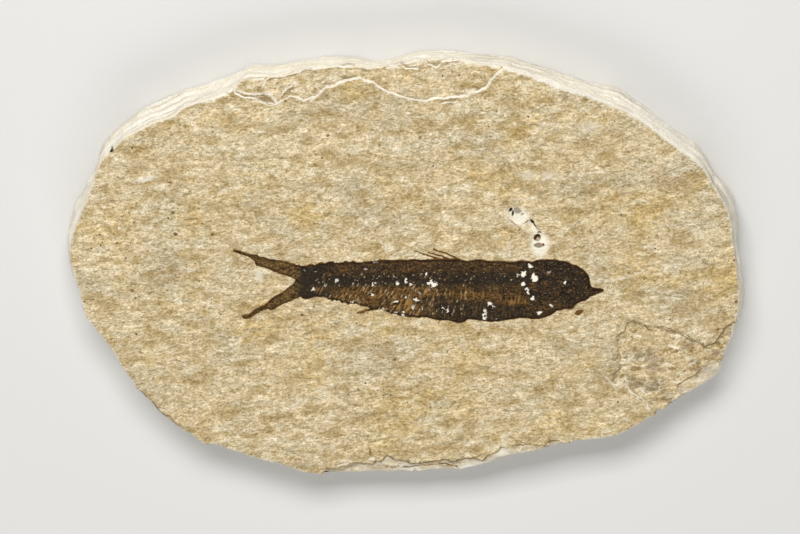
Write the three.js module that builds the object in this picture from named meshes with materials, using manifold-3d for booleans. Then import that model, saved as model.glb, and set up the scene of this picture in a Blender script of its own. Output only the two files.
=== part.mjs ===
// Fossil fish on a slab of split limestone.
//
// The slab lies on its flat back. +Z points out of the face that carries the
// fish, +X runs from the tail to the snout and +Y to the fish's own back.
// The origin is at the middle of the back. All sizes are in millimetres.
//
// The slab is one broken piece of stone: a rim of chipped facets, a face that
// undulates a little, ledges where thin sheets have spalled off the edge, and
// a few small pits. The fish is one low body that stands in a shallow bed in
// the face and rises a little above it.

import * as THREE from 'three';
import Module from 'manifold-3d';
import { mergeVertices } from 'three/addons/utils/BufferGeometryUtils.js';

const wasm = await Module();
wasm.setup();

// Driving dimensions
const SLAB_THICKNESS = 10.5;
const FISH_BED_DEPTH = 0.7;
const FISH_CROWN = 0.42;
const FISH_EDGE_RISE = 0.08;
const BED_GAP = 0.3;
const FACE_UNDULATION = 0.16;
const FACE_STEP = 3.0;
const FISH_STEP = 1.05;
const RIM_DIRECTIONS = 216;
const RIM_FACET = 3;
const RIM_SPARE = 1.0;

// Long swells of the face: share of the height, turns per mm along X and Y
const FACE_SWELLS = [
  { share: 0.25, along: 0.11, across: 0.16, start: 0.3 },
  { share: 0.25, along: 0.11, across: -0.16, start: 1.1 },
  { share: 0.3, along: 0.31, across: -0.22, start: 0.0 },
  { share: 0.2, along: 0.47, across: 0.53, start: 1.57 },
];

// The outlines below were read about a point beside the middle of the slab
const DRAWING_CENTRE = { x: 0.12, y: -1.09 };

// Edge of the face, from the right end over the bottom, left and top
const FACE_EDGE = [
  [64.7, 10], [65.3, 5], [66.2, -3], [66.7, -5.3], [66.3, -9.8], [64.9, -15],
  [63.2, -20], [63.0, -22], [62.2, -24], [60.6, -25.3], [58.8, -26.4],
  [56.6, -27.5], [54, -29.3], [52.2, -30.3], [50.3, -31.5], [48, -32.8],
  [46.3, -34.1], [44.5, -35.2], [42.8, -36.1], [40.5, -36.7], [37, -37.2],
  [33.5, -37.4], [30.5, -37.9], [28.5, -38.6], [26.7, -39.4], [24, -40],
  [21, -40.5], [18.5, -41.6], [16, -42.9], [14, -43.5], [12.5, -44.3],
  [11, -44.5], [9.5, -44.4], [8, -44.0], [5.5, -43.9], [2.5, -44.1],
  [0.5, -44.3], [-2, -44.6], [-6, -44.8], [-10, -45.0], [-13, -44.9],
  [-15.5, -44.5], [-18.3, -44.5], [-20.6, -44.1], [-24.4, -42.9],
  [-26.1, -42.1], [-27.3, -42.1], [-30.4, -41.2], [-33.7, -40.0],
  [-37.3, -38.7], [-38.9, -37.9], [-41.4, -37.8], [-43.9, -35.6],
  [-46.1, -34.9], [-49.4, -32.0], [-51.1, -30], [-53.3, -27.3], [-54.0, -26],
  [-55.2, -25.0], [-57.3, -21.6], [-58.9, -18.2], [-61.3, -15], [-64.7, -10],
  [-65.5, -5], [-66.8, 0], [-67.2, 3.4], [-65.8, 8.4], [-63.2, 14.6],
  [-61.6, 19.9], [-60.6, 22.5], [-58.7, 23.8], [-56, 26.8], [-53, 28.2],
  [-50, 30.0], [-46.5, 30.7], [-43.5, 33.0], [-39, 34.4], [-35.5, 35.6],
  [-32, 38.0], [-28, 38.3], [-25.5, 39.1], [-20, 39.9], [-15, 40.5],
  [-8, 40.6], [-3, 41.2], [-1, 41.0], [2.5, 41.9], [12, 41.8], [18.5, 41.0],
  [22.5, 39.9], [26, 38.4], [30.5, 36.7], [35, 35.5], [42, 32.9],
  [46, 30.4], [50, 27.3], [53.5, 24.7], [57.3, 21.9], [59.8, 19.0],
  [61.5, 16], [63.5, 13],
];

// Outer edge of the rim near the back, in the same order. It shows in the
// photo from the right end over the top to the left end; the rest is hidden
const BACK_EDGE = [
  [66.5, 8], [66.8, 4], [67.2, 0], [67.5, -4], [68.4, -7.3], [68.3, -10],
  [67.0, -14], [65.1, -18], [64.0, -20.6], [62.6, -23.4], [60, -25.4],
  [55.5, -28], [51, -30.3], [46, -33.4], [42, -35.4], [36, -36.5],
  [30, -37.3], [25, -39.0], [20, -40.3], [14, -42.6], [10, -43.5],
  [0, -43.7], [-10, -44.1], [-18.3, -43.8], [-27, -41.7], [-34, -39.2],
  [-41, -37.2], [-46, -34.2], [-51, -29.6], [-55, -25.2], [-58.8, -18.6],
  [-62.6, -14], [-65.6, -9], [-66.6, -5], [-67.8, 0], [-67.1, 3.2],
  [-68.3, 5.4], [-67.4, 8], [-66.8, 10], [-66.0, 12], [-64.6, 13.5],
  [-63.4, 16], [-62.5, 18], [-61.8, 20], [-61.4, 22.1], [-60, 24.2],
  [-58, 26.2], [-56, 28.2], [-53.1, 30.3], [-48.6, 32.3], [-44.1, 34.1],
  [-40, 35.4], [-36, 36.8], [-34, 37.6], [-31, 39.1], [-30, 39.3],
  [-26, 39.4], [-22, 40.1], [-18, 40.6], [-16, 41.0], [-13, 40.9],
  [-9.2, 41.0], [-8.4, 40.6], [-6.7, 40.0], [-4, 40.4], [-2, 41.0],
  [0, 41.7], [2.5, 42.2], [8, 42.3], [12, 41.8], [15, 41.45], [20, 41.3],
  [22, 40.7], [24, 40.1], [28, 38.8], [32, 37.5], [36, 36.05], [40, 34.9],
  [41.2, 35.0], [42.6, 34.4], [46, 32.0], [50, 29.1], [56, 24.4],
  [57.8, 23.3], [59.4, 21.1], [61, 18.4], [62.5, 16.4], [64.2, 14.1],
  [65.4, 12.4], [66.2, 10.8],
];

// Height up the rim: how far of the way from the face edge to the back edge,
// how much it bulges out, and how deep its chips are
const RIM_RINGS = [
  { z: 0.0, way: 0.93, bulge: -0.3, chip: 0.12 },
  { z: 1.1, way: 1.0, bulge: 0.0, chip: 0.2 },
  { z: 3.8, way: 0.85, bulge: 0.25, chip: 0.5 },
  { z: 6.6, way: 0.5, bulge: 0.25, chip: 0.5 },
  { z: 9.0, way: 0.22, bulge: 0.1, chip: 0.3 },
  { z: SLAB_THICKNESS, way: 0.0, bulge: 0.0, chip: 0.0 },
  { z: SLAB_THICKNESS + RIM_SPARE, way: 0.0, bulge: 0.0, chip: 0.0 },
];

// Ledges where thin sheets have come off: an outline, the depth of its floor
// below the face at one point, and how fast the floor falls away from there
const LEDGES = [
  {
    name: 'top spall',
    outline: [
      [-35.5, 36.2], [-34, 35.2], [-31, 35.0], [-28.5, 33.8], [-27, 33.3],
      [-23.5, 35.1], [-20, 34.3], [-17, 35.9], [-13, 38], [-9.5, 39],
      [-6.5, 37.7], [-4, 36.2], [0, 34.7], [4, 34.2], [8, 34.8], [12, 35.1],
      [15, 36.5], [17, 38.8], [19, 40.6], [19, 48], [-40, 48], [-37.5, 38],
    ],
    at: [0, 35], depth: 0.45, fall: [0, 0.13],
  },
  {
    name: 'top spall, deeper sheet',
    outline: [
      [-34, 37.2], [-31.5, 36.9], [-28.5, 36.2], [-26, 37.6], [-21, 38.4],
      [-13.3, 40.1], [-8, 40.4], [-3, 41.0], [0, 40.3], [2.7, 41.0], [6, 40.8],
      [10, 42], [10, 48], [-38, 48], [-37, 38.6],
    ],
    at: [0, 40], depth: 1.5, fall: [0, 0.3],
  },
  {
    name: 'lower right patch',
    outline: [
      [44.2, -11.6], [46.5, -12.0], [48.3, -13.0], [50.5, -12.2], [53.3, -13.3],
      [56.5, -14.8], [60, -16.9], [61.7, -15.8], [63.5, -13.5], [65.6, -11.6],
      [72, -11.6], [72, -40], [52, -40], [50, -31], [49, -29.5], [47, -27.8],
      [44.5, -25.3], [41.8, -24.8], [41.5, -23.2], [43.2, -21.3], [42.2, -19.5],
      [42.8, -18.4], [42, -14.7], [43.8, -12.9],
    ],
    at: [45, -20], depth: 0.4, fall: [0.012, -0.008],
  },
  {
    name: 'lower right lip',
    outline: [
      [55, -25], [58, -23.5], [59.5, -21.6], [72, -16], [72, -34], [50, -34],
    ],
    at: [57, -25], depth: 0.8, fall: [0.05, -0.06],
  },
  {
    name: 'bottom chips, left',
    outline: [
      [-14.4, -43.1], [-13.7, -41.9], [-7.4, -41.8], [-4.3, -40.2],
      [-1.6, -41.1], [2.1, -42.3], [2.4, -50], [-14.4, -50],
    ],
    at: [-5, -41], depth: 0.3, fall: [0, -0.4],
  },
  {
    name: 'bottom chips, middle',
    outline: [
      [3.4, -41.8], [7.8, -41.2], [9.5, -41.8], [13, -40.8], [15.5, -41.0],
      [18, -39.6], [20.5, -38.2], [25, -37.9], [28.3, -37.9], [31, -37.0],
      [33.5, -37.3], [33.5, -50], [3.4, -50],
    ],
    at: [12, -41], depth: 0.35, fall: [0.02, -0.45],
  },
  {
    name: 'lower left chip',
    outline: [
      [-56, -25], [-53, -26.5], [-50, -30], [-44, -34.9], [-40, -37],
      [-40, -46], [-66, -46], [-66, -25],
    ],
    at: [-48, -32], depth: 0.3, fall: [-0.3, -0.3],
  },
];

// Small pits above the fish's head: place, half sizes across, depth
const PITS = [
  { x: 20.7, y: 11.8, across: [0.35, 0.6], depth: 0.5 },
  { x: 22.0, y: 11.7, across: [0.9, 0.6], depth: 0.35 },
  { x: 26.4, y: 7.2, across: [0.45, 0.3], depth: 0.4 },
  { x: 26.1, y: 5.9, across: [0.7, 0.75], depth: 0.5 },
  { x: 26.3, y: 4.5, across: [1.0, 0.5], depth: 0.4 },
];

// Outline of the fish, from the snout over its back to the tail and along
// its belly to the jaw
const FISH_BACK = [
  [39.5, -4.85], [38.65, -4.4], [36.95, -4.05], [36.7, -3.4], [36.35, -1.72],
  [35.7, -0.88], [34.75, -0.12], [33.9, 0.4], [32.2, 1.1], [29.8, 1.57],
  [27.1, 1.65], [25, 1.15], [22.1, 1.25], [20.6, 1.1], [16.2, 1.35],
  [13.6, 1.7], [11.5, 1.35], [10.45, 1.8], [4.6, 1.7], [-1.3, 1.6],
  [-5.35, 1.5], [-10.6, 1.05], [-12.1, 1.3], [-14.95, 1.3], [-18.2, 0.55],
  [-20.1, 0.27], [-22.65, 0.75], [-25.6, 1.45], [-28.3, 2.07], [-29.8, 2.6],
  [-33.15, 3.4], [-34.3, 3.3],
];
const FISH_TAIL_FORK = [
  [-33.1, 2.7], [-31.6, 2.15], [-30.4, 1.37], [-30.3, 0.74], [-29.85, 0.27],
  [-28.35, -0.13], [-26.6, -0.9], [-24.8, -1.6], [-22.15, -2.56],
  [-22.4, -3.2], [-24.3, -4.85], [-26.4, -6.1], [-27.9, -7.5], [-30.15, -8.8],
  [-31.2, -9.7], [-32.5, -10.2],
];
const FISH_BELLY = [
  [-32.5, -10.65], [-32.1, -10.9], [-31.35, -10.7], [-29.7, -9.65],
  [-27.9, -8.8], [-27.3, -9.15], [-25.8, -8.4], [-23.4, -7.3], [-21.2, -6.25],
  [-19.9, -6.75], [-18.2, -6.25], [-16.3, -6.35], [-14.8, -7.0],
  [-12.25, -7.3], [-10.2, -7.7], [-8.1, -8.3], [-7.2, -8.7], [-8.75, -9.1],
  [-10, -9.8], [-8, -9.4], [-5.35, -8.9], [-3.2, -9.8], [-0.85, -10.4],
  [2.55, -10.7], [5.8, -11.1], [10, -11.7], [11.8, -11.5], [13.1, -11.05],
  [16.75, -11.55], [21.2, -11.0], [25.05, -11.0], [28.6, -10.25],
  [30.0, -9.25], [31.6, -8.8], [33.4, -8.7], [34.2, -7.63], [36.25, -6.8],
  [37.35, -5.95], [39.2, -5.24],
];
const FISH_OUTLINE = [...FISH_BACK, ...FISH_TAIL_FORK, ...FISH_BELLY];

// Rays of the back fin, each a thin strip: points and half widths
const FIN_RAYS = [
  { points: [[1.1, 3.45], [3.0, 2.7], [5.4, 2.0], [7.5, 1.2]], half: [0.1, 0.2, 0.22, 0.3] },
  { points: [[4.1, 3.0], [7.0, 2.35], [9.0, 1.2]], half: [0.1, 0.2, 0.3] },
  { points: [[5.25, 3.8], [8.0, 2.8], [10.4, 1.4]], half: [0.1, 0.22, 0.3] },
];

// Line of the backbone along the fish, from the tail to the head
const BACKBONE = [[-34, -2.6], [-22, -2.7], [-10, -2.4], [10, -2.0], [24, -1.7]];
const SPINE = { rise: 0.1, width: 0.8 };
const HEAD_START = 24.2;
const GILL = { lean: 0.35, middle: -5, depth: 0.16, width: 0.7 };
const EYE = { x: 31.6, y: -3.3, radius: 1.9, depth: 0.14, width: 0.8 };
const TAIL_ROOT = { from: -24, to: -14, crownShare: 0.35 };

// Blocks whose tops carry the face and the fish, and how far cutters overrun
const FACE_BLOCK = { from: [-72, -48], to: [72, 48], bottom: -1 };
const FISH_BLOCK = { from: [-36, -12], to: [41, 6.5], under: 1 };
const TOP_SPARE = 4;
const CUT_SPARE = 3;

/** A repeatable number from -1 to 1 for a whole-number place. */
function scatter(i, j) {
  const s = Math.sin(i * 127.1 + j * 311.7 + 17.3) * 43758.5453;
  return 2 * (s - Math.floor(s)) - 1;
}

/** The value between listed [place, value] pairs. */
function between(pairs, place) {
  if (place <= pairs[0][0]) return pairs[0][1];
  for (let i = 1; i < pairs.length; i += 1) {
    const [a, va] = pairs[i - 1];
    const [b, vb] = pairs[i];
    if (place <= b) return va + ((vb - va) * (place - a)) / (b - a);
  }
  return pairs[pairs.length - 1][1];
}

/** A list of read points moved about the middle of the slab. */
function centred(points) {
  return points.map(([x, y]) => [x - DRAWING_CENTRE.x, y - DRAWING_CENTRE.y]);
}

/** How far an outline lies from the middle in one direction, in radians. */
function reach(outline, angle) {
  const dx = Math.cos(angle);
  const dy = Math.sin(angle);
  let far = 0;
  outline.forEach(([ax, ay], i) => {
    const [bx, by] = outline[(i + 1) % outline.length];
    const ex = bx - ax;
    const ey = by - ay;
    const cross = dx * ey - dy * ex;
    if (Math.abs(cross) < 1e-9) return;
    const along = (ax * ey - ay * ex) / cross;
    const part = (ax * dy - ay * dx) / cross;
    if (along > 0 && part >= 0 && part <= 1) far = Math.max(far, along);
  });
  return far;
}

/** A closed solid from a three.js geometry. */
function solid(geometry) {
  const bare = geometry.clone();
  bare.deleteAttribute('normal');
  bare.deleteAttribute('uv');
  const merged = mergeVertices(bare, 1e-5);
  return new wasm.Manifold(new wasm.Mesh({
    numProp: 3,
    vertProperties: Float32Array.from(merged.attributes.position.array),
    triVerts: Uint32Array.from(merged.index.array),
  }));
}

/** A three.js geometry from a closed solid. */
function geometryOf(body) {
  const mesh = body.getMesh();
  const geometry = new THREE.BufferGeometry();
  geometry.setAttribute('position', new THREE.BufferAttribute(mesh.vertProperties, 3));
  geometry.setIndex(new THREE.BufferAttribute(mesh.triVerts, 1));
  geometry.computeVertexNormals();
  return geometry;
}

/** The solid over an outline between two heights. */
function prism(outline, low, high) {
  const shape = new THREE.Shape(outline.map(([x, y]) => new THREE.Vector2(x, y)));
  const geometry = new THREE.ExtrudeGeometry(shape, { depth: high - low, bevelEnabled: false });
  geometry.translate(0, 0, low);
  return solid(geometry);
}

/** An outline moved outwards by a distance. */
function grown(outline, distance) {
  const turn = Math.sign(THREE.ShapeUtils.area(outline.map(([x, y]) => ({ x, y }))));
  const count = outline.length;
  return outline.map(([x, y], i) => {
    const [px, py] = outline[(i + count - 1) % count];
    const [nx, ny] = outline[(i + 1) % count];
    const a = new THREE.Vector2(y - py, px - x).normalize();
    const b = new THREE.Vector2(ny - y, x - nx).normalize();
    const out = a.clone().add(b);
    const sharp = Math.max(out.length() / 2, 0.45);
    out.normalize().multiplyScalar((turn * distance) / sharp);
    return [x + out.x, y + out.y];
  });
}

/** The outline of a strip along some points, with a half width at each. */
function stripOutline({ points, half }, extra) {
  const left = [];
  const right = [];
  points.forEach(([x, y], i) => {
    const [ax, ay] = points[Math.max(i - 1, 0)];
    const [bx, by] = points[Math.min(i + 1, points.length - 1)];
    const side = new THREE.Vector2(ay - by, bx - ax).normalize().multiplyScalar(half[i] + extra);
    left.push([x + side.x, y + side.y]);
    right.unshift([x - side.x, y - side.y]);
  });
  return [...left, ...right];
}

/** A block whose top follows a height over x and y. */
function reliefBlock({ from, to, step, bottom, heightAt }) {
  const width = to[0] - from[0];
  const length = to[1] - from[1];
  const geometry = new THREE.BoxGeometry(
    width, length, 1, Math.round(width / step), Math.round(length / step), 1,
  );
  geometry.translate((from[0] + to[0]) / 2, (from[1] + to[1]) / 2, 0.5);
  const place = geometry.attributes.position;
  for (let i = 0; i < place.count; i += 1) {
    const top = place.getZ(i) > 0.5;
    place.setZ(i, top ? heightAt(place.getX(i), place.getY(i)) : bottom);
  }
  return solid(geometry);
}

/** The chipped body of the slab, a little taller than its face. */
function rimBody() {
  const faceEdge = centred(FACE_EDGE);
  const backEdge = centred(BACK_EDGE);
  const positions = [];
  const indices = [];
  RIM_RINGS.forEach((ring, level) => {
    for (let i = 0; i < RIM_DIRECTIONS; i += 1) {
      const angle = (i / RIM_DIRECTIONS) * 2 * Math.PI;
      const facet = 0.6 * scatter(Math.floor(i / RIM_FACET), level) + 0.4 * scatter(i, level);
      const middle = THREE.MathUtils.lerp(reach(faceEdge, angle), reach(backEdge, angle), ring.way);
      const radius = middle + ring.bulge + ring.chip * facet;
      positions.push(radius * Math.cos(angle), radius * Math.sin(angle), ring.z);
    }
  });
  const bottomCentre = positions.length / 3;
  positions.push(0, 0, RIM_RINGS[0].z);
  positions.push(0, 0, RIM_RINGS[RIM_RINGS.length - 1].z);
  const lastRing = (RIM_RINGS.length - 1) * RIM_DIRECTIONS;
  for (let i = 0; i < RIM_DIRECTIONS; i += 1) {
    const j = (i + 1) % RIM_DIRECTIONS;
    for (let level = 0; level < RIM_RINGS.length - 1; level += 1) {
      const a = level * RIM_DIRECTIONS;
      const b = a + RIM_DIRECTIONS;
      indices.push(a + i, a + j, b + j, a + i, b + j, b + i);
    }
    indices.push(bottomCentre, j, i);
    indices.push(bottomCentre + 1, lastRing + i, lastRing + j);
  }
  const geometry = new THREE.BufferGeometry();
  geometry.setAttribute('position', new THREE.Float32BufferAttribute(positions, 3));
  geometry.setIndex(indices);
  return solid(geometry);
}

/** Height of the face, with its low swells. */
function faceHeight(x, y) {
  const swell = FACE_SWELLS.reduce(
    (sum, { share, along, across, start }) => (
      sum + share * Math.sin(along * x + across * y + start)
    ),
    0,
  );
  return SLAB_THICKNESS + FACE_UNDULATION * swell;
}

/** The cutter of one ledge, with its sloping floor. */
function ledgeCutter(ledge) {
  const outline = centred(ledge.outline);
  const [atX, atY] = centred([ledge.at])[0];
  const shape = new THREE.Shape(outline.map(([x, y]) => new THREE.Vector2(x, y)));
  const geometry = new THREE.ExtrudeGeometry(shape, { depth: 1, bevelEnabled: false });
  const place = geometry.attributes.position;
  for (let i = 0; i < place.count; i += 1) {
    const away = ledge.fall[0] * (place.getX(i) - atX) + ledge.fall[1] * (place.getY(i) - atY);
    const floor = SLAB_THICKNESS - ledge.depth - away;
    place.setZ(i, place.getZ(i) > 0.5 ? SLAB_THICKNESS + CUT_SPARE : floor);
  }
  return solid(geometry);
}

/** The cutter of one pit: a low faceted bowl. */
function pitCutter(pit) {
  const [x, y] = centred([[pit.x, pit.y]])[0];
  const geometry = new THREE.IcosahedronGeometry(1, 1);
  geometry.scale(pit.across[0], pit.across[1], pit.depth);
  geometry.translate(x, y, faceHeight(x, y));
  return solid(geometry);
}

/** The fish's outline as a solid, or with a gap round it as its bed. */
function fishPlan(extra, low, high) {
  const outline = centred(FISH_OUTLINE);
  let plan = prism(extra > 0 ? grown(outline, extra) : outline, low, high);
  FIN_RAYS.forEach((ray) => {
    const strip = stripOutline({ points: centred(ray.points), half: ray.half }, extra);
    plan = plan.add(prism(strip, low, high));
  });
  return plan;
}

/** A soft ridge: 1 on its line and falling off over a width. */
function ridge(away, width) {
  return Math.exp(-((away / width) ** 2));
}

/** Height of the fish's surface over x and y. */
function fishHeight(x, y) {
  const readX = x + DRAWING_CENTRE.x;
  const readY = y + DRAWING_CENTRE.y;
  const back = between([...FISH_BACK].reverse(), readX);
  const belly = between(FISH_BELLY, readX);
  const across = THREE.MathUtils.clamp((readY - belly) / (back - belly), 0, 1);
  const dome = Math.sqrt(Math.max(1 - (2 * across - 1) ** 2, 0));
  const body = THREE.MathUtils.smoothstep(readX, TAIL_ROOT.from, TAIL_ROOT.to);
  let rise = FISH_EDGE_RISE;
  rise += FISH_CROWN * dome * THREE.MathUtils.lerp(TAIL_ROOT.crownShare, 1, body);
  if (readX < HEAD_START) {
    rise += SPINE.rise * body * ridge(readY - between(BACKBONE, readX), SPINE.width);
  }
  const gill = readX - HEAD_START + GILL.lean * (readY - GILL.middle);
  rise -= GILL.depth * dome * ridge(gill, GILL.width);
  const eye = Math.hypot(readX - EYE.x, readY - EYE.y);
  rise -= EYE.depth * ridge(eye - EYE.radius, EYE.width);
  return SLAB_THICKNESS + Math.max(rise, FISH_EDGE_RISE / 2);
}

/** The slab: rim, face, ledges, pits and the bed of the fish. */
function limestoneSlab() {
  const face = reliefBlock({ ...FACE_BLOCK, step: FACE_STEP, heightAt: faceHeight });
  let slab = rimBody().intersect(face);
  LEDGES.forEach((ledge) => {
    slab = slab.subtract(ledgeCutter(ledge));
  });
  PITS.forEach((pit) => {
    slab = slab.subtract(pitCutter(pit));
  });
  const bedFloor = SLAB_THICKNESS - FISH_BED_DEPTH;
  return slab.subtract(fishPlan(BED_GAP, bedFloor, SLAB_THICKNESS + TOP_SPARE));
}

/** The fish: its outline under a low domed surface. */
function fossilFish() {
  const bedFloor = SLAB_THICKNESS - FISH_BED_DEPTH;
  const surface = reliefBlock({
    from: FISH_BLOCK.from,
    to: FISH_BLOCK.to,
    step: FISH_STEP,
    bottom: bedFloor - FISH_BLOCK.under,
    heightAt: fishHeight,
  });
  return fishPlan(0, bedFloor, SLAB_THICKNESS + TOP_SPARE).intersect(surface);
}

/** One named piece with its own finish. */
function piece(name, body, color, roughness) {
  const material = new THREE.MeshStandardMaterial({ color, roughness, metalness: 0 });
  const mesh = new THREE.Mesh(geometryOf(body), material);
  mesh.name = name;
  return mesh;
}

const group = new THREE.Group();
group.add(piece('limestone_slab', limestoneSlab(), '#cebb94', 0.9));
group.add(piece('fossil_fish', fossilFish(), '#4f4030', 0.7));

export default group;
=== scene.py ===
"""Fossil fish on a slab of split limestone, laid on its back on a pale table.

The slab and the fish are each one piece. The slab starts from a merged copy
of its solid, is closed under the fish, evened out and weathered. The fish is
drawn as an outline, pulled up into a low body and carved. Both stand where
their solids stand. Sizes are in millimetres and turned to metres once.
"""

import itertools
import logging
import math
from dataclasses import dataclass, field
from enum import Enum
from typing import Any, Dict, List, Optional, Sequence, Tuple

import bmesh
import bpy
import numpy as np
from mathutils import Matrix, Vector


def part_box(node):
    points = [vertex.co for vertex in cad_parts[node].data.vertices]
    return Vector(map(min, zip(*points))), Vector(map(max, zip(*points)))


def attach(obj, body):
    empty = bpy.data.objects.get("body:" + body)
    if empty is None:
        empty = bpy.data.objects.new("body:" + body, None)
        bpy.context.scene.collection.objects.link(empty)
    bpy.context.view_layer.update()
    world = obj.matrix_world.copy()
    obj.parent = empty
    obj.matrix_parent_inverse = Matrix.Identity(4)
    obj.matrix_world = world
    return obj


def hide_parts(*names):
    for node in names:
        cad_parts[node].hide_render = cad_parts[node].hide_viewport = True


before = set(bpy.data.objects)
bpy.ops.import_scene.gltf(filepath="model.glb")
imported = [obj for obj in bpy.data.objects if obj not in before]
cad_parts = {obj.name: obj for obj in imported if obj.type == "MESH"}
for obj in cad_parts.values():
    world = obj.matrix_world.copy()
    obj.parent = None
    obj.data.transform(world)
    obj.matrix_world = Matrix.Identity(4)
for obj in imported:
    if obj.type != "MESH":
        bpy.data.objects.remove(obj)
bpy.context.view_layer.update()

log = logging.getLogger("fossil_slab")

MM = 0.001
SLAB_THICKNESS = 10.5
# Where the slab's middle lies in the outlines as they were read
DRAWING_CENTRE = (0.12, -1.09)

Array = np.ndarray
Piece = bpy.types.Object
Tree = bpy.types.NodeTree
Socket = bpy.types.NodeSocket
Point = Tuple[float, float]
Line = Tuple[Point, ...]
Size = Tuple[float, float, float]
Colour = Tuple[float, float, float, float]


class Side(Enum):
    """The three kinds of surface of the slab."""

    FACE = "bedding_face"
    RIM = "broken_rim"
    BACK = "rough_back"


class Coat(Enum):
    """What covers a thin line or a broken wall: pale new break with painted highlight, grime with
    painted shade.
    """

    # Pale new break, with painted highlight where an edge faces the lamp
    FRESH = "fresh_break_and_highlight"
    # Grime, with painted shade where an edge is turned from the lamp
    DIRT = "dirty_and_shaded"


# Outline of the fish: along its back from snout to tail, round the fork of
# the tail, and along the belly to the jaw
FISH_BACK: List[Point] = [
    (39.5, -4.85), (39.2, -4.58), (38.65, -4.45), (37.65, -4.35), (36.95, -4.1), (36.7, -3.4),
    (36.6, -2.4), (36.35, -1.72), (35.7, -0.88), (34.75, -0.12), (33.95, 0.39), (32.9, 0.64),
    (32.2, 1.15), (30.75, 1.35), (29.8, 1.57), (28.7, 1.65), (27.1, 1.65), (25.9, 1.5),
    (25.1, 1.12), (24.2, 1.28), (23.05, 1.4), (22.1, 1.23), (20.65, 1.1), (19.4, 1.3),
    (17.9, 1.28), (16.2, 1.35), (15.05, 1.65), (13.7, 1.65), (13.1, 1.42), (11.85, 1.3),
    (11.1, 1.5), (10.45, 1.8), (8.5, 1.72), (6.5, 1.7), (4.6, 1.66), (2.9, 1.6), (1.6, 1.72),
    (0.1, 1.52), (-1.3, 1.65), (-2.7, 1.52), (-4.6, 1.57), (-6.1, 1.4), (-7.35, 1.24),
    (-9.85, 1.0), (-10.8, 1.3), (-11.4, 1.13), (-12.1, 1.37), (-12.9, 1.0), (-14.2, 1.05),
    (-14.95, 1.37), (-15.55, 1.2), (-16.1, 0.9), (-17.5, 0.9), (-18.2, 0.5), (-19.4, 0.58),
    (-20.1, 0.27), (-21.2, 0.35), (-22.65, 0.75), (-23.4, 0.9), (-23.9, 1.2), (-25.6, 1.45),
    (-26.4, 1.7), (-27.15, 1.7), (-28.3, 2.07), (-29.3, 2.25), (-29.8, 2.6), (-30.6, 2.7),
    (-31.6, 2.8), (-33.15, 3.45), (-34.5, 3.65), (-34.6, 3.3), (-33.9, 3.05),
]
TAIL_FORK: List[Point] = [
    (-33.1, 2.7), (-31.6, 2.15), (-30.9, 1.76), (-30.4, 1.37), (-30.3, 0.74), (-29.85, 0.27),
    (-29.1, 0.03), (-28.35, -0.13), (-27.5, -0.44), (-26.6, -0.9), (-25.7, -1.23), (-24.8, -1.6),
    (-23.7, -1.93), (-22.8, -2.25), (-22.15, -2.6), (-22.4, -3.2), (-23.4, -4.1), (-24.3, -4.85),
    (-25.4, -5.7), (-26.4, -6.1), (-27.2, -6.8), (-27.9, -7.5), (-28.5, -8.0), (-29.4, -8.4),
    (-30.15, -8.8), (-30.75, -9.25), (-31.2, -9.7), (-31.8, -10.05), (-32.3, -10.0),
    (-32.9, -10.25),
]
FISH_BELLY: List[Point] = [
    (-32.85, -10.75), (-32.3, -10.95), (-31.35, -10.7), (-30.45, -10.1), (-29.7, -9.65),
    (-28.8, -9.1), (-27.9, -8.8), (-27.45, -8.85), (-27.3, -9.15), (-26.7, -9.0), (-25.8, -8.4),
    (-24.8, -7.85), (-23.4, -7.3), (-22.4, -6.8), (-21.2, -6.25), (-20.75, -6.65),
    (-19.9, -6.75), (-19.0, -6.5), (-18.2, -6.25), (-17.2, -6.35), (-16.3, -6.35),
    (-15.7, -6.8), (-14.8, -7.0), (-14.2, -6.9), (-14.05, -7.5), (-13.75, -7.1), (-12.85, -7.5),
    (-12.25, -7.3), (-11.65, -7.9), (-11.1, -7.7), (-10.2, -7.75), (-9.4, -8.0), (-8.1, -8.3),
    (-7.3, -8.6), (-7.5, -8.88), (-8.75, -9.1), (-9.7, -9.45), (-10.0, -9.93), (-8.9, -9.7),
    (-7.97, -9.38), (-6.75, -9.1), (-5.35, -8.92), (-4.9, -8.8), (-4.65, -9.1), (-3.95, -9.45),
    (-3.2, -9.8), (-2.25, -9.85), (-1.4, -10.35), (-0.85, -10.45), (-0.1, -10.3), (0.4, -10.7),
    (1.15, -10.45), (1.8, -10.6), (2.55, -10.75), (3.2, -10.5), (4.1, -10.6), (4.9, -10.85),
    (5.8, -11.1), (6.9, -11.3), (8.45, -11.25), (9.2, -11.5), (10.0, -11.75), (10.95, -11.75),
    (11.8, -11.55), (12.2, -11.05), (13.1, -11.0), (14.65, -11.25), (15.6, -11.35),
    (16.75, -11.6), (18.35, -11.45), (19.8, -11.2), (21.2, -11.0), (22.65, -10.75),
    (23.95, -10.75), (25.05, -11.0), (26.35, -10.95), (27.6, -10.7), (28.6, -10.25),
    (29.35, -9.85), (30.0, -9.25), (30.8, -9.15), (31.6, -8.8), (32.6, -8.9), (33.4, -8.7),
    (33.7, -8.1), (34.2, -7.63), (34.8, -7.3), (35.6, -7.15), (36.25, -6.8), (36.7, -6.3),
    (37.35, -5.95), (38.3, -5.6), (39.2, -5.24),
]
FISH_OUTLINE: List[Point] = FISH_BACK + TAIL_FORK + FISH_BELLY
BACKBONE: List[Point] = [
    (-34.0, -2.6), (-22.0, -2.7), (-10.0, -2.3), (0.0, -2.2), (10.0, -2.1), (24.0, -1.8),
    (40.0, -1.6),
]
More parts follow.
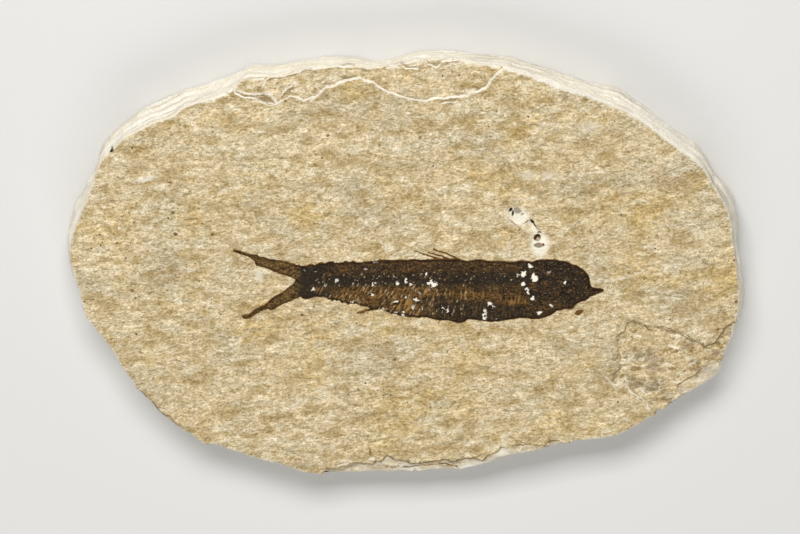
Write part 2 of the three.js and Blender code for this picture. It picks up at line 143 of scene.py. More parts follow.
# Middle lines and half widths of the three rays of the back fin
FIN_RAYS: Tuple[Tuple[Line, Tuple[float, ...]], ...] = (
    (((1.1, 3.45), (1.85, 2.96), (3.0, 2.7), (4.25, 2.4), (5.4, 2.05), (7.0, 1.5)),
     (0.09, 0.16, 0.17, 0.14, 0.14, 0.2)),
    (((4.1, 3.04), (5.35, 2.8), (6.3, 2.45), (7.0, 2.35), (8.4, 1.6)),
     (0.07, 0.13, 0.15, 0.13, 0.2)),
    (((5.25, 3.8), (6.1, 3.4), (7.05, 3.2), (8.0, 2.83), (8.75, 2.42), (9.6, 2.1), (10.4, 1.6)),
     (0.08, 0.14, 0.14, 0.15, 0.15, 0.18, 0.2)),
)
LEAST_RAY_HALF = 0.15
HEAD_START = 24.2
EYE = (31.6, -3.3)
RIB_SPACING = 0.72
SPINE_SPACING = 1.05
SCALE_SPACING = 0.7
# Broken lines of the bottom edge, each both a ledge's side, turned from the lamp, and a dark line
# of grime and painted shade
LEFT_CHIP: Line = (
    (-16.0, -43.4), (-14.0, -42.9), (-12.0, -42.2), (-11.0, -41.9), (-9.0, -42.0),
    (-7.0, -41.9), (-6.3, -41.4),
)
NOTCH: Line = (
    (-4.5, -41.2), (-3.9, -40.4), (-3.0, -40.6), (-2.0, -41.3), (-0.5, -41.5), (0.5, -41.9),
    (1.2, -42.3),
)
MIDDLE_CHIP: Line = (
    (3.0, -42.0), (4.8, -41.5), (6.5, -41.4), (8.0, -41.2), (9.3, -41.8), (10.0, -41.7),
    (11.0, -41.1), (12.5, -40.7), (13.7, -40.6), (14.5, -40.9),
)
RIGHT_CHIP: Line = (
    (15.2, -41.4), (15.9, -40.8), (16.5, -40.1), (17.5, -39.7), (18.5, -39.3), (19.5, -38.3),
    (21.5, -38.2), (24.0, -37.8), (26.0, -38.0), (28.0, -38.1), (28.5, -37.4), (29.5, -37.0),
    (31.0, -37.1),
)


def srgb(code: str) -> Colour:
    """Turns an sRGB hex colour into the linear one that a shader wants.

    Args:
        code: A hash sign and six hex digits.

    Returns:
        The linear colour, fully opaque.
    """
    parts = [int(code[i:i + 2], 16) / 255 for i in (1, 3, 5)]
    linear = [c / 12.92 if c <= 0.04045 else ((c + 0.055) / 1.055) ** 2.4 for c in parts]
    return (linear[0], linear[1], linear[2], 1.0)


def placed(x: float, y: float) -> Point:
    """Moves a read point to the slab's own middle."""
    return (x - DRAWING_CENTRE[0], y - DRAWING_CENTRE[1])


def reading(places: Array) -> Array:
    """Moves points of the slab to where the outlines were read."""
    return places + np.array([*DRAWING_CENTRE, 0.0])


def fade(value: Array, start: float, end: float) -> Array:
    """Rises smoothly from 0 at start to 1 at end."""
    part = np.clip((value - start) / (end - start), 0.0, 1.0)
    return part * part * (3.0 - 2.0 * part)


def lumps(places: Array, size: Sequence[float], seed: int) -> Array:
    """Smooth noise over points in space.

    Args:
        places: Points in mm, one row each.
        size: Size of a lump in mm along X, Y and Z.
        seed: Which of many such patterns.

    Returns:
        One value from -1 to 1 for each point.
    """
    spot = places / np.asarray(size) + seed * 7.31
    cell = np.floor(spot)
    part = spot - cell
    part = part * part * (3.0 - 2.0 * part)
    total = np.zeros(len(places))
    for corner in itertools.product((0, 1), repeat=3):
        at = cell + np.asarray(corner)
        wave = np.sin(at @ np.array([127.1, 311.7, 74.7]) + seed) * 43758.5453
        weight = np.prod(np.where(np.asarray(corner) == 1, part, 1.0 - part), axis=1)
        total += weight * (wave - np.floor(wave))
    return 2.0 * total - 1.0


def turned(places: Array, degrees: float) -> Array:
    """Points seen from axes turned about Z, so that streaks lie at an angle.

    Args:
        places: Points in mm, one row each.
        degrees: How far the axes are turned, counter-clockwise.

    Returns:
        The same points along the turned axes.
    """
    c, s = math.cos(math.radians(degrees)), math.sin(math.radians(degrees))
    x, y = places[:, 0], places[:, 1]
    return np.stack([x * c + y * s, y * c - x * s, places[:, 2]], axis=1)


def outline_distance(places: Array, outline: Sequence[Point]) -> Array:
    """Distance from points to an outline, positive inside it.

    Args:
        places: Points, one row each, of which X and Y are read.
        outline: The outline's corners in order.

    Returns:
        One distance for each point.
    """
    nearest = np.full(len(places), 1e9)
    inside = np.zeros(len(places), dtype=bool)
    px, py = places[:, 0], places[:, 1]
    for (ax, ay), (bx, by) in zip(outline, list(outline[1:]) + [outline[0]]):
        ex, ey = bx - ax, by - ay
        part = np.clip(((px - ax) * ex + (py - ay) * ey) / (ex * ex + ey * ey + 1e-12), 0, 1)
        nearest = np.minimum(nearest, np.hypot(px - ax - part * ex, py - ay - part * ey))
        crosses = (ay > py) != (by > py)
        inside ^= crosses & (px < ex * (py - ay) / (ey if ey else 1e-12) + ax)
    return np.where(inside, nearest, -nearest)


def line_distance(places: Array, points: Sequence[Point]) -> Array:
    """Distance of points from an open line, in mm."""
    there_and_back = list(points) + list(points[-2:0:-1])
    return np.abs(outline_distance(places, there_and_back))


def spread_out(places: Array, x: float, y: float, turn: float) -> Tuple[Array, Array]:
    """Distances of points from a spot along the spot's own two axes.

    Args:
        places: Points in mm, of which X and Y are read.
        x: The spot's place.
        y: The spot's place.
        turn: How far the spot's axes are turned, in degrees.

    Returns:
        The distance along each axis, in mm.
    """
    c, s = math.cos(math.radians(turn)), math.sin(math.radians(turn))
    dx, dy = places[:, 0] - x, places[:, 1] - y
    return dx * c + dy * s, dy * c - dx * s


def bump(value: Array, reach: float) -> Array:
    """A soft bump, 1 where the value is 0 and gone within twice the reach."""
    return np.exp(-np.square(value / reach))


@dataclass(frozen=True)
class Relief:
    """Lumps that raise and lower a surface, with their real size in mm.

    A bias above 0 makes the hollows deeper than the lumps are high.
    """

    reach: float
    size: Size
    seed: int
    bias: float = 0.0
    turn: float = 0.0

    def pattern(self, places: Array) -> Array:
        """The lumps alone, from -1 to 1."""
        return lumps(turned(places, self.turn), self.size, self.seed)

    def over(self, places: Array) -> Array:
        """How far each point is raised, in mm."""
        return self.reach * (self.pattern(places) - self.bias)


def along(pairs: Sequence[Point], place: Array) -> Array:
    """Values of a line, given as points, at other places along X."""
    ordered = sorted(pairs)
    return np.interp(place, [p[0] for p in ordered], [p[1] for p in ordered])


def mesh_points(piece: Piece) -> Array:
    """Vertex places of a piece in mm."""
    flat = np.empty(len(piece.data.vertices) * 3)
    piece.data.vertices.foreach_get("co", flat)
    return flat.reshape(-1, 3) / MM


def move_points(piece: Piece, places: Array) -> None:
    """Puts the vertices of a piece at places in mm."""
    piece.data.vertices.foreach_set("co", (places * MM).ravel())
    piece.data.update()


def mesh_normals(piece: Piece) -> Array:
    """Vertex normals of a piece."""
    flat = np.empty(len(piece.data.vertices) * 3)
    piece.data.vertices.foreach_get("normal", flat)
    return flat.reshape(-1, 3)


def paint(piece: Piece, name: str, values: Array) -> None:
    """Stores one number from 0 to 1 on each vertex, for the finish to read.

    Args:
        piece: The mesh.
        name: The name that the finish asks for.
        values: One number per vertex.
    """
    layer = piece.data.attributes.new(name, "FLOAT", "POINT")
    layer.data.foreach_set("value", np.clip(values, 0.0, 1.0).astype(np.float32))


def only(piece: Piece) -> None:
    """Selects one piece and makes it the active one."""
    bpy.ops.object.select_all(action="DESELECT")
    piece.select_set(True)
    bpy.context.view_layer.objects.active = piece


def dress(piece: Piece, finish: Any, node: str) -> None:
    """Gives a piece its finish and its place in the frame.

    Args:
        piece: The finished mesh.
        finish: What the piece is made of.
        node: The solid that it stands in for.
    """
    piece.data.polygons.foreach_set("use_smooth", [True] * len(piece.data.polygons))
    piece.data.materials.clear()
    piece.data.materials.append(finish.make())
    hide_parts(node)
    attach(piece, "root")


def even_out(piece: Piece, grain: float) -> None:
    """Remeshes a closed piece to squares of one size.

    Args:
        piece: The closed mesh.
        grain: Side of a square in mm.
    """
    only(piece)
    remesh = piece.modifiers.new("even", "REMESH")
    remesh.mode = "VOXEL"
    remesh.voxel_size = grain * MM
    bpy.ops.object.modifier_apply(modifier=remesh.name)


def add_node(
    tree: Tree,
    kind: str,
    feeds: Optional[Dict[Any, Any]] = None,
    **settings: Any,
) -> bpy.types.Node:
    """Adds one shader node.

    Args:
        tree: The material's node tree.
        kind: The node's type.
        feeds: What goes into its sockets: a number, a colour or a socket.
        settings: The node's own options.

    Returns:
        The new node.
    """
    node = tree.nodes.new(kind)
    for name, value in settings.items():
        setattr(node, name, value)
    for key, value in (feeds or {}).items():
        if isinstance(value, Socket):
            tree.links.new(value, node.inputs[key])
        else:
            node.inputs[key].default_value = value
    return node


def open_finish(name: str) -> Tuple[bpy.types.Material, Socket]:
    """Starts an empty material.

    Args:
        name: The material's name.

    Returns:
        The material, and the socket of its object coordinates in metres.
    """
    material = bpy.data.materials.new(name)
    material.use_nodes = True
    material.node_tree.nodes.clear()
    return material, add_node(material.node_tree, "ShaderNodeTexCoord").outputs["Object"]


def close_finish(tree: Tree, feeds: Dict[str, Any]) -> None:
    """Ends a material with its shader.

    Args:
        tree: The material's node tree.
        feeds: What goes into the shader's sockets.
    """
    shader = add_node(tree, "ShaderNodeBsdfPrincipled", {"IOR": 1.5, **feeds})
    add_node(tree, "ShaderNodeOutputMaterial", {"Surface": shader.outputs[0]})


def stored(tree: Tree, name: str) -> Socket:
    """The socket of a number that paint has stored on the mesh."""
    return add_node(tree, "ShaderNodeAttribute", attribute_name=name).outputs["Fac"]


def cloud(
    tree: Tree,
    place: Socket,
    size: Size,
    turn: float,
    detail: float,
    shift: float,
) -> Socket:
    """Cloudy noise with lumps of a real size.

    Args:
        tree: The material's node tree.
        place: Object coordinates in metres.
        size: Size of a lump in mm.
        turn: Lie of the lumps on the face, in degrees.
        detail: How many finer sizes are added.
        shift: Which of many such patterns.

    Returns:
        A socket that runs from 0 to 1.
    """
    spread = add_node(
        tree, "ShaderNodeMapping",
        {"Vector": place, "Scale": tuple(s * MM for s in size),
         "Location": (shift * MM, 0.7 * shift * MM, 0.3 * shift * MM),
         "Rotation": (0.0, 0.0, math.radians(turn))},
        vector_type="TEXTURE",
    )
    return add_node(
        tree, "ShaderNodeTexNoise",
        {"Vector": spread.outputs[0], "Scale": 1.0, "Detail": detail, "Roughness": 0.55},
    ).outputs["Fac"]


@dataclass(frozen=True)
class Mottle:
    """A cloudy coat of colour, with the real size of its patches in mm."""

    size: Size
    colour: str
    strength: float
    low: float = 0.5
    high: float = 0.7
    detail: float = 3.0
    shift: float = 0.0
    turn: float = 7.0

    def mask(self, tree: Tree, place: Socket) -> Socket:
        """Where the coat lies, from 0 to its strength."""
        lumpy = cloud(tree, place, self.size, self.turn, self.detail, self.shift)
        return add_node(
            tree, "ShaderNodeMapRange",
            {"Value": lumpy, "From Min": self.low, "From Max": self.high,
             "To Min": 0.0, "To Max": self.strength},
            interpolation_type="SMOOTHSTEP",
        ).outputs[0]


@dataclass(frozen=True)
class Shade:
    """Lighter and darker grains of one size, the dark ones the stronger."""

    size: Size
    amount: float
    detail: float = 1.0
    shift: float = 0.0
    turn: float = 7.0
    warmth: float = 0.0

    def laid(self, tree: Tree, place: Socket, colour: Any) -> Any:
        """Lightens and darkens a colour grain by grain.

        Args:
            tree: The material's node tree.
            place: Object coordinates in metres.
            colour: The colour, or a socket that gives it.

        Returns:
            The socket of the grained colour.
        """
        lumpy = cloud(tree, place, self.size, self.turn, self.detail, self.shift)
        level = add_node(
            tree, "ShaderNodeMapRange", {"Value": lumpy, "From Min": 0.3, "From Max": 0.7},
        )
        dark, light = 1.25 * self.amount, 1.0 + 0.6 * self.amount
        tints = [1.0 - dark * (1.0 + self.warmth * share) for share in (0.0, 0.12, 0.55)]
        tint = add_node(
            tree, "ShaderNodeMix",
            {0: level.outputs[0], 6: (*tints, 1.0), 7: (light, light, light, 1.0)},
            data_type="RGBA",
        )
        return add_node(
            tree, "ShaderNodeMix", {0: 1.0, 6: colour, 7: tint.outputs[2]},
            data_type="RGBA", blend_type="MULTIPLY",
        ).outputs[2]


@dataclass(frozen=True)
class Mark:
    """One small spot, streak or bruise on the face, in mm and degrees."""

    x: float
    y: float
    half: Tuple[float, float]
    colour: str
    strength: float = 0.9
    turn: float = 0.0
    soft: float = 0.5

    def mask(self, tree: Tree, place: Socket) -> Socket:
        """Where the mark lies: on the face, and a few mm below it on the rim.

        Args:
            tree: The material's node tree.
            place: Object coordinates in metres.

        Returns:
            A socket that runs from 0 to the mark's strength.
        """
        x, y = placed(self.x, self.y)
        depth = 3.0
        near = add_node(
            tree, "ShaderNodeMapping",
            {"Vector": place, "Location": (x * MM, y * MM, SLAB_THICKNESS * MM),
             "Rotation": (0.0, 0.0, math.radians(self.turn)),
             "Scale": (self.half[0] * MM, self.half[1] * MM, depth * MM)},
            vector_type="TEXTURE",
        )
        away = add_node(tree, "ShaderNodeVectorMath", {0: near.outputs[0]}, operation="LENGTH")
        return add_node(
            tree, "ShaderNodeMapRange",
            {"Value": away.outputs["Value"], "From Min": 1.0 + self.soft,
             "From Max": 1.0 - self.soft, "To Min": 0.0, "To Max": self.strength},
            interpolation_type="SMOOTHSTEP",
        ).outputs[0]


def coated(
    tree: Tree,
    ground: Any,
    coats: Sequence[Tuple[Socket, Any]],
) -> Any:
    """Lays coats of colour over a ground colour.

    Args:
        tree: The material's node tree.
        ground: The first colour, or a socket that gives it.
        coats: Masks and colours, the lowest coat first.

    Returns:
        The socket of the finished colour.
    """
    result = ground
    for mask, colour in coats:
        result = add_node(
            tree, "ShaderNodeMix", {0: mask, 6: result, 7: colour}, data_type="RGBA",
        ).outputs[2]
    return result


def stained(
    tree: Tree,
    place: Socket,
    ground: Any,
    stains: Sequence[Any],
) -> Any:
    """Lays mottles or marks over a ground colour, each in its own colour.

    Args:
        tree: The material's node tree.
        place: Object coordinates in metres.
        ground: The first colour, or a socket that gives it.
        stains: The mottles or marks, the lowest first.

    Returns:
        The socket of the stained colour.
    """
    return coated(tree, ground, [(s.mask(tree, place), srgb(s.colour)) for s in stains])


@dataclass(frozen=True)
class SplitLimestone:
    """Lake limestone split along its bedding: matt, chalky, faintly streaked.

    The streaks lie along the bedding, new breaks are nearly white, and light and shade are partly
    painted on.
    """

    name: str = "split_limestone"
    slot: str = "split_limestone"
    ground: str = "#deccab"
    # Pale colour of new breaks, also painted as highlight on edges facing the lamp
    fresh_and_lit: str = "#f8f3e6"
    patch: str = "#d3bf9a"
    # Colour of grime, also painted as shade on edges turned from the lamp
    dirt_and_shade: str = "#5f4a20"
    # Painted shade in the low parts of the face's ripples
    hollow: str = "#a98f5c"
    roughness: float = 0.92
    gloss: float = 0.15
    chalk: Shade = Shade((0.5, 0.4, 0.4), 0.1, 1.0, 2.0)
    mottles: Tuple[Mottle, ...] = (
        Mottle((17.0, 11.0, 9.0), "#c6bba5", 0.75, 0.45, 0.72, 2.0, 31.0),
        Mottle((13.0, 9.0, 9.0), "#dabd80", 0.65, 0.5, 0.75, 2.0, 87.0),
        Mottle((4.4, 2.3, 3.0), "#b0935a", 0.6, 0.5, 0.72, 2.0, 13.0),
        Mottle((4.2, 2.2, 3.0), "#e8dfc9", 0.7, 0.5, 0.72, 2.0, 59.0),
        Mottle((2.6, 1.3, 2.0), "#a99d83", 0.25, 0.55, 0.74, 1.0, 71.0),
        Mottle((1.6, 0.8, 1.0), "#977d4c", 0.55, 0.55, 0.74, 2.0, 22.0),
        Mottle((3.6, 0.55, 1.0), "#8c7645", 0.6, 0.59, 0.72, 3.0, 51.0, -9.0),
        Mottle((3.2, 0.5, 1.0), "#857a62", 0.5, 0.6, 0.73, 3.0, 77.0, 14.0),
        Mottle((3.0, 0.6, 1.0), "#f0e8d3", 0.5, 0.58, 0.73, 3.0, 91.0, 2.0),
        Mottle((1.4, 0.75, 1.0), "#ece4d0", 0.55, 0.54, 0.74, 2.0, 64.0),
        Mottle((0.7, 0.42, 0.5), "#6f5a30", 0.55, 0.64, 0.76, 1.0, 47.0),
    )
    shades: Tuple[Shade, ...] = (
        Shade((0.4, 0.27, 0.3), 0.21, 0.0, 5.0, 7.0, 0.6),
        Shade((0.85, 0.48, 0.5), 0.17, 0.0, 9.0, 7.0, 0.8),
        Shade((2.4, 1.15, 2.0), 0.13, 1.0, 3.0, 7.0, 1.0),
    )
    patch_mottles: Tuple[Mottle, ...] = (
        Mottle((5.0, 3.2, 3.0), "#9b8c79", 0.85, 0.48, 0.64, 2.0, 5.0),
        Mottle((2.4, 1.6, 2.0), "#8a6a33", 0.8, 0.55, 0.7, 2.0, 15.0),
        Mottle((2.2, 1.5, 2.0), "#f4ead3", 0.95, 0.53, 0.66, 2.0, 25.0),
        Mottle((0.9, 0.7, 1.0), "#665232", 0.6, 0.58, 0.74, 2.0, 35.0),
        Mottle((0.8, 0.6, 1.0), "#f6ecd2", 0.6, 0.58, 0.74, 2.0, 45.0),
    )
    layers: Tuple[Mottle, ...] = (
        Mottle((34.0, 34.0, 1.3), "#efe5cc", 0.5, 0.42, 0.62, 1.0, 6.0),
        Mottle((26.0, 26.0, 0.42), "#d0bd90", 0.42, 0.54, 0.7, 1.0, 19.0),
        Mottle((18.0, 18.0, 0.26), "#a28c5e", 0.38, 0.6, 0.76, 1.0, 33.0),
    )
    marks: Tuple[Mark, ...] = (
        # Ink-like dot on the rim, crumbs at the upper left
        Mark(-58.3, 24.1, (0.5, 0.42), "#1d1712", 1.0),
        Mark(-38.6, 6.7, (0.34, 0.3), "#57421d"),
        Mark(-46.9, 17.6, (0.36, 0.22), "#5d4822"),
        Mark(-45.9, 6.9, (0.42, 0.3), "#54401c"),
        Mark(-46.4, 11.3, (0.4, 0.3), "#6b5428"),
        # Rust dots near the right end
        Mark(66.0, -7.3, (0.3, 0.3), "#7d4526"),
        Mark(65.3, 1.4, (0.28, 0.25), "#8a4d2c"),
        Mark(65.5, 2.4, (0.22, 0.22), "#8a4d2c"),
        Mark(62.5, -13.3, (0.35, 0.25), "#7d4526"),
        # Brown dots over the face and at the bottom edge
        Mark(-15.5, 27.2, (0.4, 0.3), "#74592f"),
        Mark(2.6, 26.8, (0.3, 0.25), "#86693c"),
        Mark(-5.3, 25.2, (0.32, 0.28), "#86693c"),
        Mark(-2.4, -19.7, (0.4, 0.3), "#74592f"),
        Mark(-9.7, -26.0, (0.3, 0.3), "#86693c"),
        Mark(-7.3, -39.5, (0.24, 0.8), "#806126"),
        Mark(-7.0, -41.0, (0.6, 0.35), "#efe5cd", 0.8),
        Mark(-7.8, -36.0, (0.3, 0.25), "#86693c"),
        Mark(-54.8, -5.0, (0.4, 0.3), "#74592f"),
        # White scratch and pale scuffs
        Mark(-51.7, 18.1, (1.9, 0.4), "#e2d9c6", 0.85, 13.0),
        Mark(24.0, 19.0, (1.6, 1.0), "#d8d0bd", 0.5, 0.0, 0.8),
        Mark(28.0, 19.0, (1.4, 0.9), "#d8d0bd", 0.5, 0.0, 0.8),
        Mark(36.0, 29.0, (1.8, 1.1), "#dad2bf", 0.5, 0.0, 0.8),
        Mark(-29.4, -1.8, (0.7, 1.2), "#e6dfcc", 0.6, 10.0, 0.8),
        # Olive lines at the back fin
        Mark(2.9, 2.95, (1.9, 0.13), "#5f4a1d", 0.9, -16.0),
        Mark(4.6, 3.3, (1.5, 0.1), "#7a6232", 0.7, -15.0),
        # Stains in the top spall
        Mark(-28.0, 34.5, (1.5, 0.45), "#86714c", 0.75, -14.0),
        Mark(-23.9, 34.2, (0.3, 0.25), "#7d6634"),
        Mark(-18.0, 36.6, (0.3, 0.25), "#8f7440"),
        Mark(-25.3, 37.7, (0.3, 0.25), "#8f7440"),
        # White bruise above the head with its pits, cracks and red speck
        Mark(22.3, 10.3, (2.0, 1.8), "#f3ecd8", 0.9, 0.0, 0.45),
        Mark(26.6, 4.6, (1.8, 2.4), "#f3ecd8", 0.9, 0.0, 0.45),
        Mark(25.4, 7.9, (0.6, 1.5), "#f6f0dc", 0.75, 20.0),
        Mark(24.6, 7.3, (1.5, 0.7), "#e9dcba", 0.5, -30.0, 0.6),
        Mark(22.0, 11.75, (0.8, 0.62), "#8d8470", 0.9, 0.0, 0.35),
        Mark(23.0, 10.95, (0.32, 0.27), "#8d887b", 0.85),
        Mark(20.68, 11.85, (0.55, 0.24), "#100b07", 1.0, 50.0),
        Mark(21.05, 11.2, (0.21, 0.6), "#2c110b", 1.0),
        Mark(23.95, 9.45, (1.0, 0.13), "#7d6a49", 0.9, 34.0),
        Mark(25.3, 9.0, (1.4, 0.17), "#4a3519", 1.0, -58.0),
        Mark(25.0, 9.5, (0.32, 0.24), "#160f08", 1.0),
        Mark(22.4, 7.7, (0.5, 0.14), "#7c6238", 0.85, 58.0),
        Mark(20.8, 7.3, (0.8, 0.2), "#836c44", 0.8, -14.0),
        Mark(26.45, 7.2, (0.4, 0.23), "#0d0805", 1.0),
        Mark(26.0, 6.1, (0.7, 0.74), "#3f2a0e", 1.0, 0.0, 0.25),
        Mark(26.2, 5.75, (0.34, 0.42), "#bba987", 0.9, 0.0, 0.4),
        Mark(26.3, 4.55, (0.95, 0.52), "#6d6350", 0.9, 0.0, 0.25),
        Mark(26.3, 4.55, (0.75, 0.34), "#958b78", 0.9, 0.0, 0.4),
        Mark(27.25, 4.7, (0.2, 0.32), "#8e1408", 1.0),
        Mark(28.4, 3.2, (1.2, 0.2), "#ab9671", 0.6, 52.0),
        Mark(21.3, 9.1, (1.6, 0.16), "#8f7950", 0.75, -38.0),
        # Crumbs of bone and faint lines round the fish
        Mark(-20.95, -10.15, (0.28, 0.24), "#4d4232"),
        Mark(-19.4, -9.75, (0.34, 0.22), "#9c7d4b", 0.7),
        Mark(-17.2, -10.9, (0.75, 0.14), "#a3855a", 0.7, -48.0),
        Mark(-0.7, 4.5, (0.75, 0.16), "#ad9260", 0.6),
        Mark(3.6, 3.72, (1.4, 0.12), "#a98f60", 0.65, 9.0),
        Mark(3.9, 4.45, (0.65, 0.11), "#a98f60", 0.55, 50.0),
        Mark(38.2, -3.9, (0.55, 0.16), "#a78247", 0.7, -20.0),
    )

    def make(self) -> bpy.types.Material:
        """Builds the finish.

        Returns:
            The material.
        """
        material, place = open_finish(self.name)
        tree = material.node_tree
        stone = stained(tree, place, srgb(self.ground), self.mottles)
        stone = coated(tree, stone, self.specks(tree, place))
        # Painted shade: the low parts of the ripples darkened
        stone = coated(tree, stone, [(stored(tree, "shaded_hollows"), srgb(self.hollow))])
        spalled = stained(tree, place, srgb(self.patch), self.patch_mottles)
        stone = coated(tree, stone, [(stored(tree, "spalled"), spalled)])
        for shade in self.shades:
            stone = shade.laid(tree, place, stone)
        fresh_and_lit = stained(tree, place, srgb(self.fresh_and_lit), self.layers)
        fresh_and_lit = self.chalk.laid(tree, place, fresh_and_lit)
        # Pale breaks with painted highlight, then grime with painted shade
        stone = coated(
            tree, stone,
            [(stored(tree, Coat.FRESH.value), fresh_and_lit),
             (stored(tree, Coat.DIRT.value), srgb(self.dirt_and_shade))],
        )
        stone = stained(tree, self.wandering(tree, place), stone, self.marks)
        close_finish(
            tree,
            {"Base Color": stone, "Roughness": self.roughness,
             "Specular IOR Level": self.gloss, "Normal": self.grain(tree, place)},
        )
        return material

    def wandering(self, tree: Tree, place: Socket) -> Socket:
        """Places shifted a little to and fro, which makes a mark's edge uneven.

        Args:
            tree: The material's node tree.
            place: Object coordinates in metres.

        Returns:
            The socket of the shifted coordinates.
        """
        swing, reach = 0.8 * MM, 0.5 * MM
        wander = add_node(
            tree, "ShaderNodeTexNoise", {"Vector": place, "Scale": 1.0 / swing, "Detail": 2.0},
        )
        push = add_node(
            tree, "ShaderNodeVectorMath",
            {0: wander.outputs["Color"], 1: (0.5, 0.5, 0.5)}, operation="SUBTRACT",
        )
        return add_node(
            tree, "ShaderNodeVectorMath",
            {0: push.outputs[0], 1: (reach, reach, reach), 2: place}, operation="MULTIPLY_ADD",
        ).outputs[0]

    def specks(self, tree: Tree, place: Socket) -> List[Tuple[Socket, Colour]]:
        """Brown mineral specks of 0.2 to 0.5 mm, thickest in a few patches.

        Args:
            tree: The material's node tree.
            place: Object coordinates in metres.

        Returns:
            Two coats of specks, fine and coarse.
        """
        coats = []
        speckled = stored(tree, "speckled")
        for spacing, spot, share, colour in (
            (0.8, 0.17, 1.0, "#604b24"), (1.7, 0.13, 0.55, "#3b2c14"),
        ):
            cells = add_node(
                tree, "ShaderNodeTexVoronoi",
                {"Vector": place, "Scale": 1.0 / (spacing * MM), "Randomness": 1.0},
            )
            dot = add_node(
                tree, "ShaderNodeMapRange",
                {"Value": cells.outputs["Distance"], "From Min": spot * 1.4,
                 "From Max": spot * 0.6, "To Max": 0.85},
                interpolation_type="SMOOTHSTEP",
            )
            chance = add_node(tree, "ShaderNodeSeparateColor", {0: cells.outputs["Color"]})
            wanted = add_node(
                tree, "ShaderNodeMath", {0: speckled, 1: share},
                operation="MULTIPLY",
            )
            kept = add_node(
                tree, "ShaderNodeMath", {0: wanted.outputs[0], 1: chance.outputs[0]},
                operation="GREATER_THAN",
            )
            speck = add_node(
                tree, "ShaderNodeMath", {0: dot.outputs[0], 1: kept.outputs[0]},
                operation="MULTIPLY",
            )
            coats.append((speck.outputs[0], srgb(colour)))
        return coats

    def grain(self, tree: Tree, place: Socket) -> Socket:
        """The chalky grain of the stone, 0.3 to 0.6 mm, too fine for the mesh.

        Args:
            tree: The material's node tree.
            place: Object coordinates in metres.

        Returns:
            The socket of the bumped normal.
        """
        sand = cloud(tree, place, (0.95, 0.65, 0.6), 11.0, 3.0, 17.0)
        return add_node(
            tree, "ShaderNodeBump",
            {"Height": sand, "Strength": 1.0, "Distance": 0.22 * MM},
        ).outputs[0]


@dataclass(frozen=True)
class FossilBone:
    """Bone and scale turned to dark mineral film: brown, faintly waxy.

    The backbone is blue-black, the belly golden brown between the ribs, and
    pale stone shows where the film has flaked off.
    """

    name: str = "fossil_bone"
    slot: str = "fossil_bone"
    ground: str = "#473722"
    roughness: float = 0.8
    gloss: float = 0.12
    scale_size: float = 0.35
    under_coats: Tuple[Tuple[str, str], ...] = (
        ("warm", "#573f25"),
        ("belly", "#6e4f26"),
        ("spine_band", "#27221b"),
        ("head", "#352b20"),
        ("tail", "#755a32"),
    )
    upper_coats: Tuple[Tuple[str, str], ...] = (
        ("spine_core", "#2e271e"),
        ("rib", "#b88e50"),
        ("edge", "#1c1007"),
        ("fringe", "#6b4a1a"),
        ("halo", "#120b06"),
        ("fleck", "#c2ae86"),
        ("flaked", "#f3ecd9"),
    )
    mottles: Tuple[Mottle, ...] = (
        Mottle((1.6, 0.9, 1.0), "#1c140d", 0.7, 0.47, 0.66, 3.0, 1.7, 0.0),
        Mottle((1.2, 0.7, 1.0), "#7d5a31", 0.6, 0.54, 0.7, 3.0, 4.1, 0.0),
        Mottle((0.55, 0.38, 0.4), "#0d0805", 0.7, 0.53, 0.7, 2.0, 9.3, 0.0),
        Mottle((0.45, 0.32, 0.4), "#a3804c", 0.6, 0.58, 0.74, 2.0, 7.7, 0.0),
        # Grey flecks: painted glints on the waxy film
        Mottle((0.42, 0.36, 0.4), "#8d8676", 0.4, 0.61, 0.76, 2.0, 3.3, 0.0),
    )
    shades: Tuple[Shade, ...] = (
        Shade((0.28, 0.25, 0.3), 0.45, 0.0, 2.0, 0.0),
        Shade((0.65, 0.45, 0.5), 0.32, 0.0, 6.0, 0.0),
    )

    def make(self) -> bpy.types.Material:
        """Builds the finish.

        Returns:
            The material.
        """
        material, place = open_finish(self.name)
        tree = material.node_tree
        under = [(stored(tree, name), srgb(colour)) for name, colour in self.under_coats]
        bone = coated(tree, srgb(self.ground), under)
        bone = stained(tree, place, bone, self.mottles)
        for shade in self.shades:
            bone = shade.laid(tree, place, bone)
        upper = [(stored(tree, name), srgb(colour)) for name, colour in self.upper_coats]
        bone = coated(tree, bone, upper)
        scales = add_node(
            tree, "ShaderNodeTexNoise",
            {"Vector": place, "Scale": 1.0 / (self.scale_size * MM), "Detail": 2.0},
        )
        rough = add_node(
            tree, "ShaderNodeBump",
            {"Height": scales.outputs["Fac"], "Strength": 0.5, "Distance": 0.06 * MM},
        )
        close_finish(
            tree,
            {"Base Color": bone, "Roughness": self.roughness,
             "Specular IOR Level": self.gloss, "Normal": rough.outputs[0]},
        )
        return material


@dataclass(frozen=True)
class PaintedTable:
    """A plain pale table top, painted matt, that sends soft light back."""

    name: str = "painted_table"
    colour: str = "#d9d8d5"

    def make(self) -> bpy.types.Material:
        """Builds the finish.

        Returns:
            The material.
        """
        material = bpy.data.materials.new(self.name)
        material.use_nodes = True
        shader = material.node_tree.nodes["Principled BSDF"]
        shader.inputs["Base Color"].default_value = srgb(self.colour)
        shader.inputs["Roughness"].default_value = 0.9
        return material


@dataclass(frozen=True)
class Ledge:
    """A sheet of stone that has come off: outline, depth at a place, fall.

    A chip also has a pale, freshly broken floor, and no stub stands over it.
    """

    outline: Line
    at: Point
    depth: float
    fall: Point = (0.0, 0.0)
    pale: float = 0.0

    def inside(self, read: Array) -> Array:
        """Distance of points from the ledge's line, positive on its floor."""
        return outline_distance(read, self.outline)

    def drop(self, read: Array) -> Array:
        """How far the floor lies below the face, in mm."""
        x, y = read[:, 0] - self.at[0], read[:, 1] - self.at[1]
        return self.depth + self.fall[0] * x + self.fall[1] * y


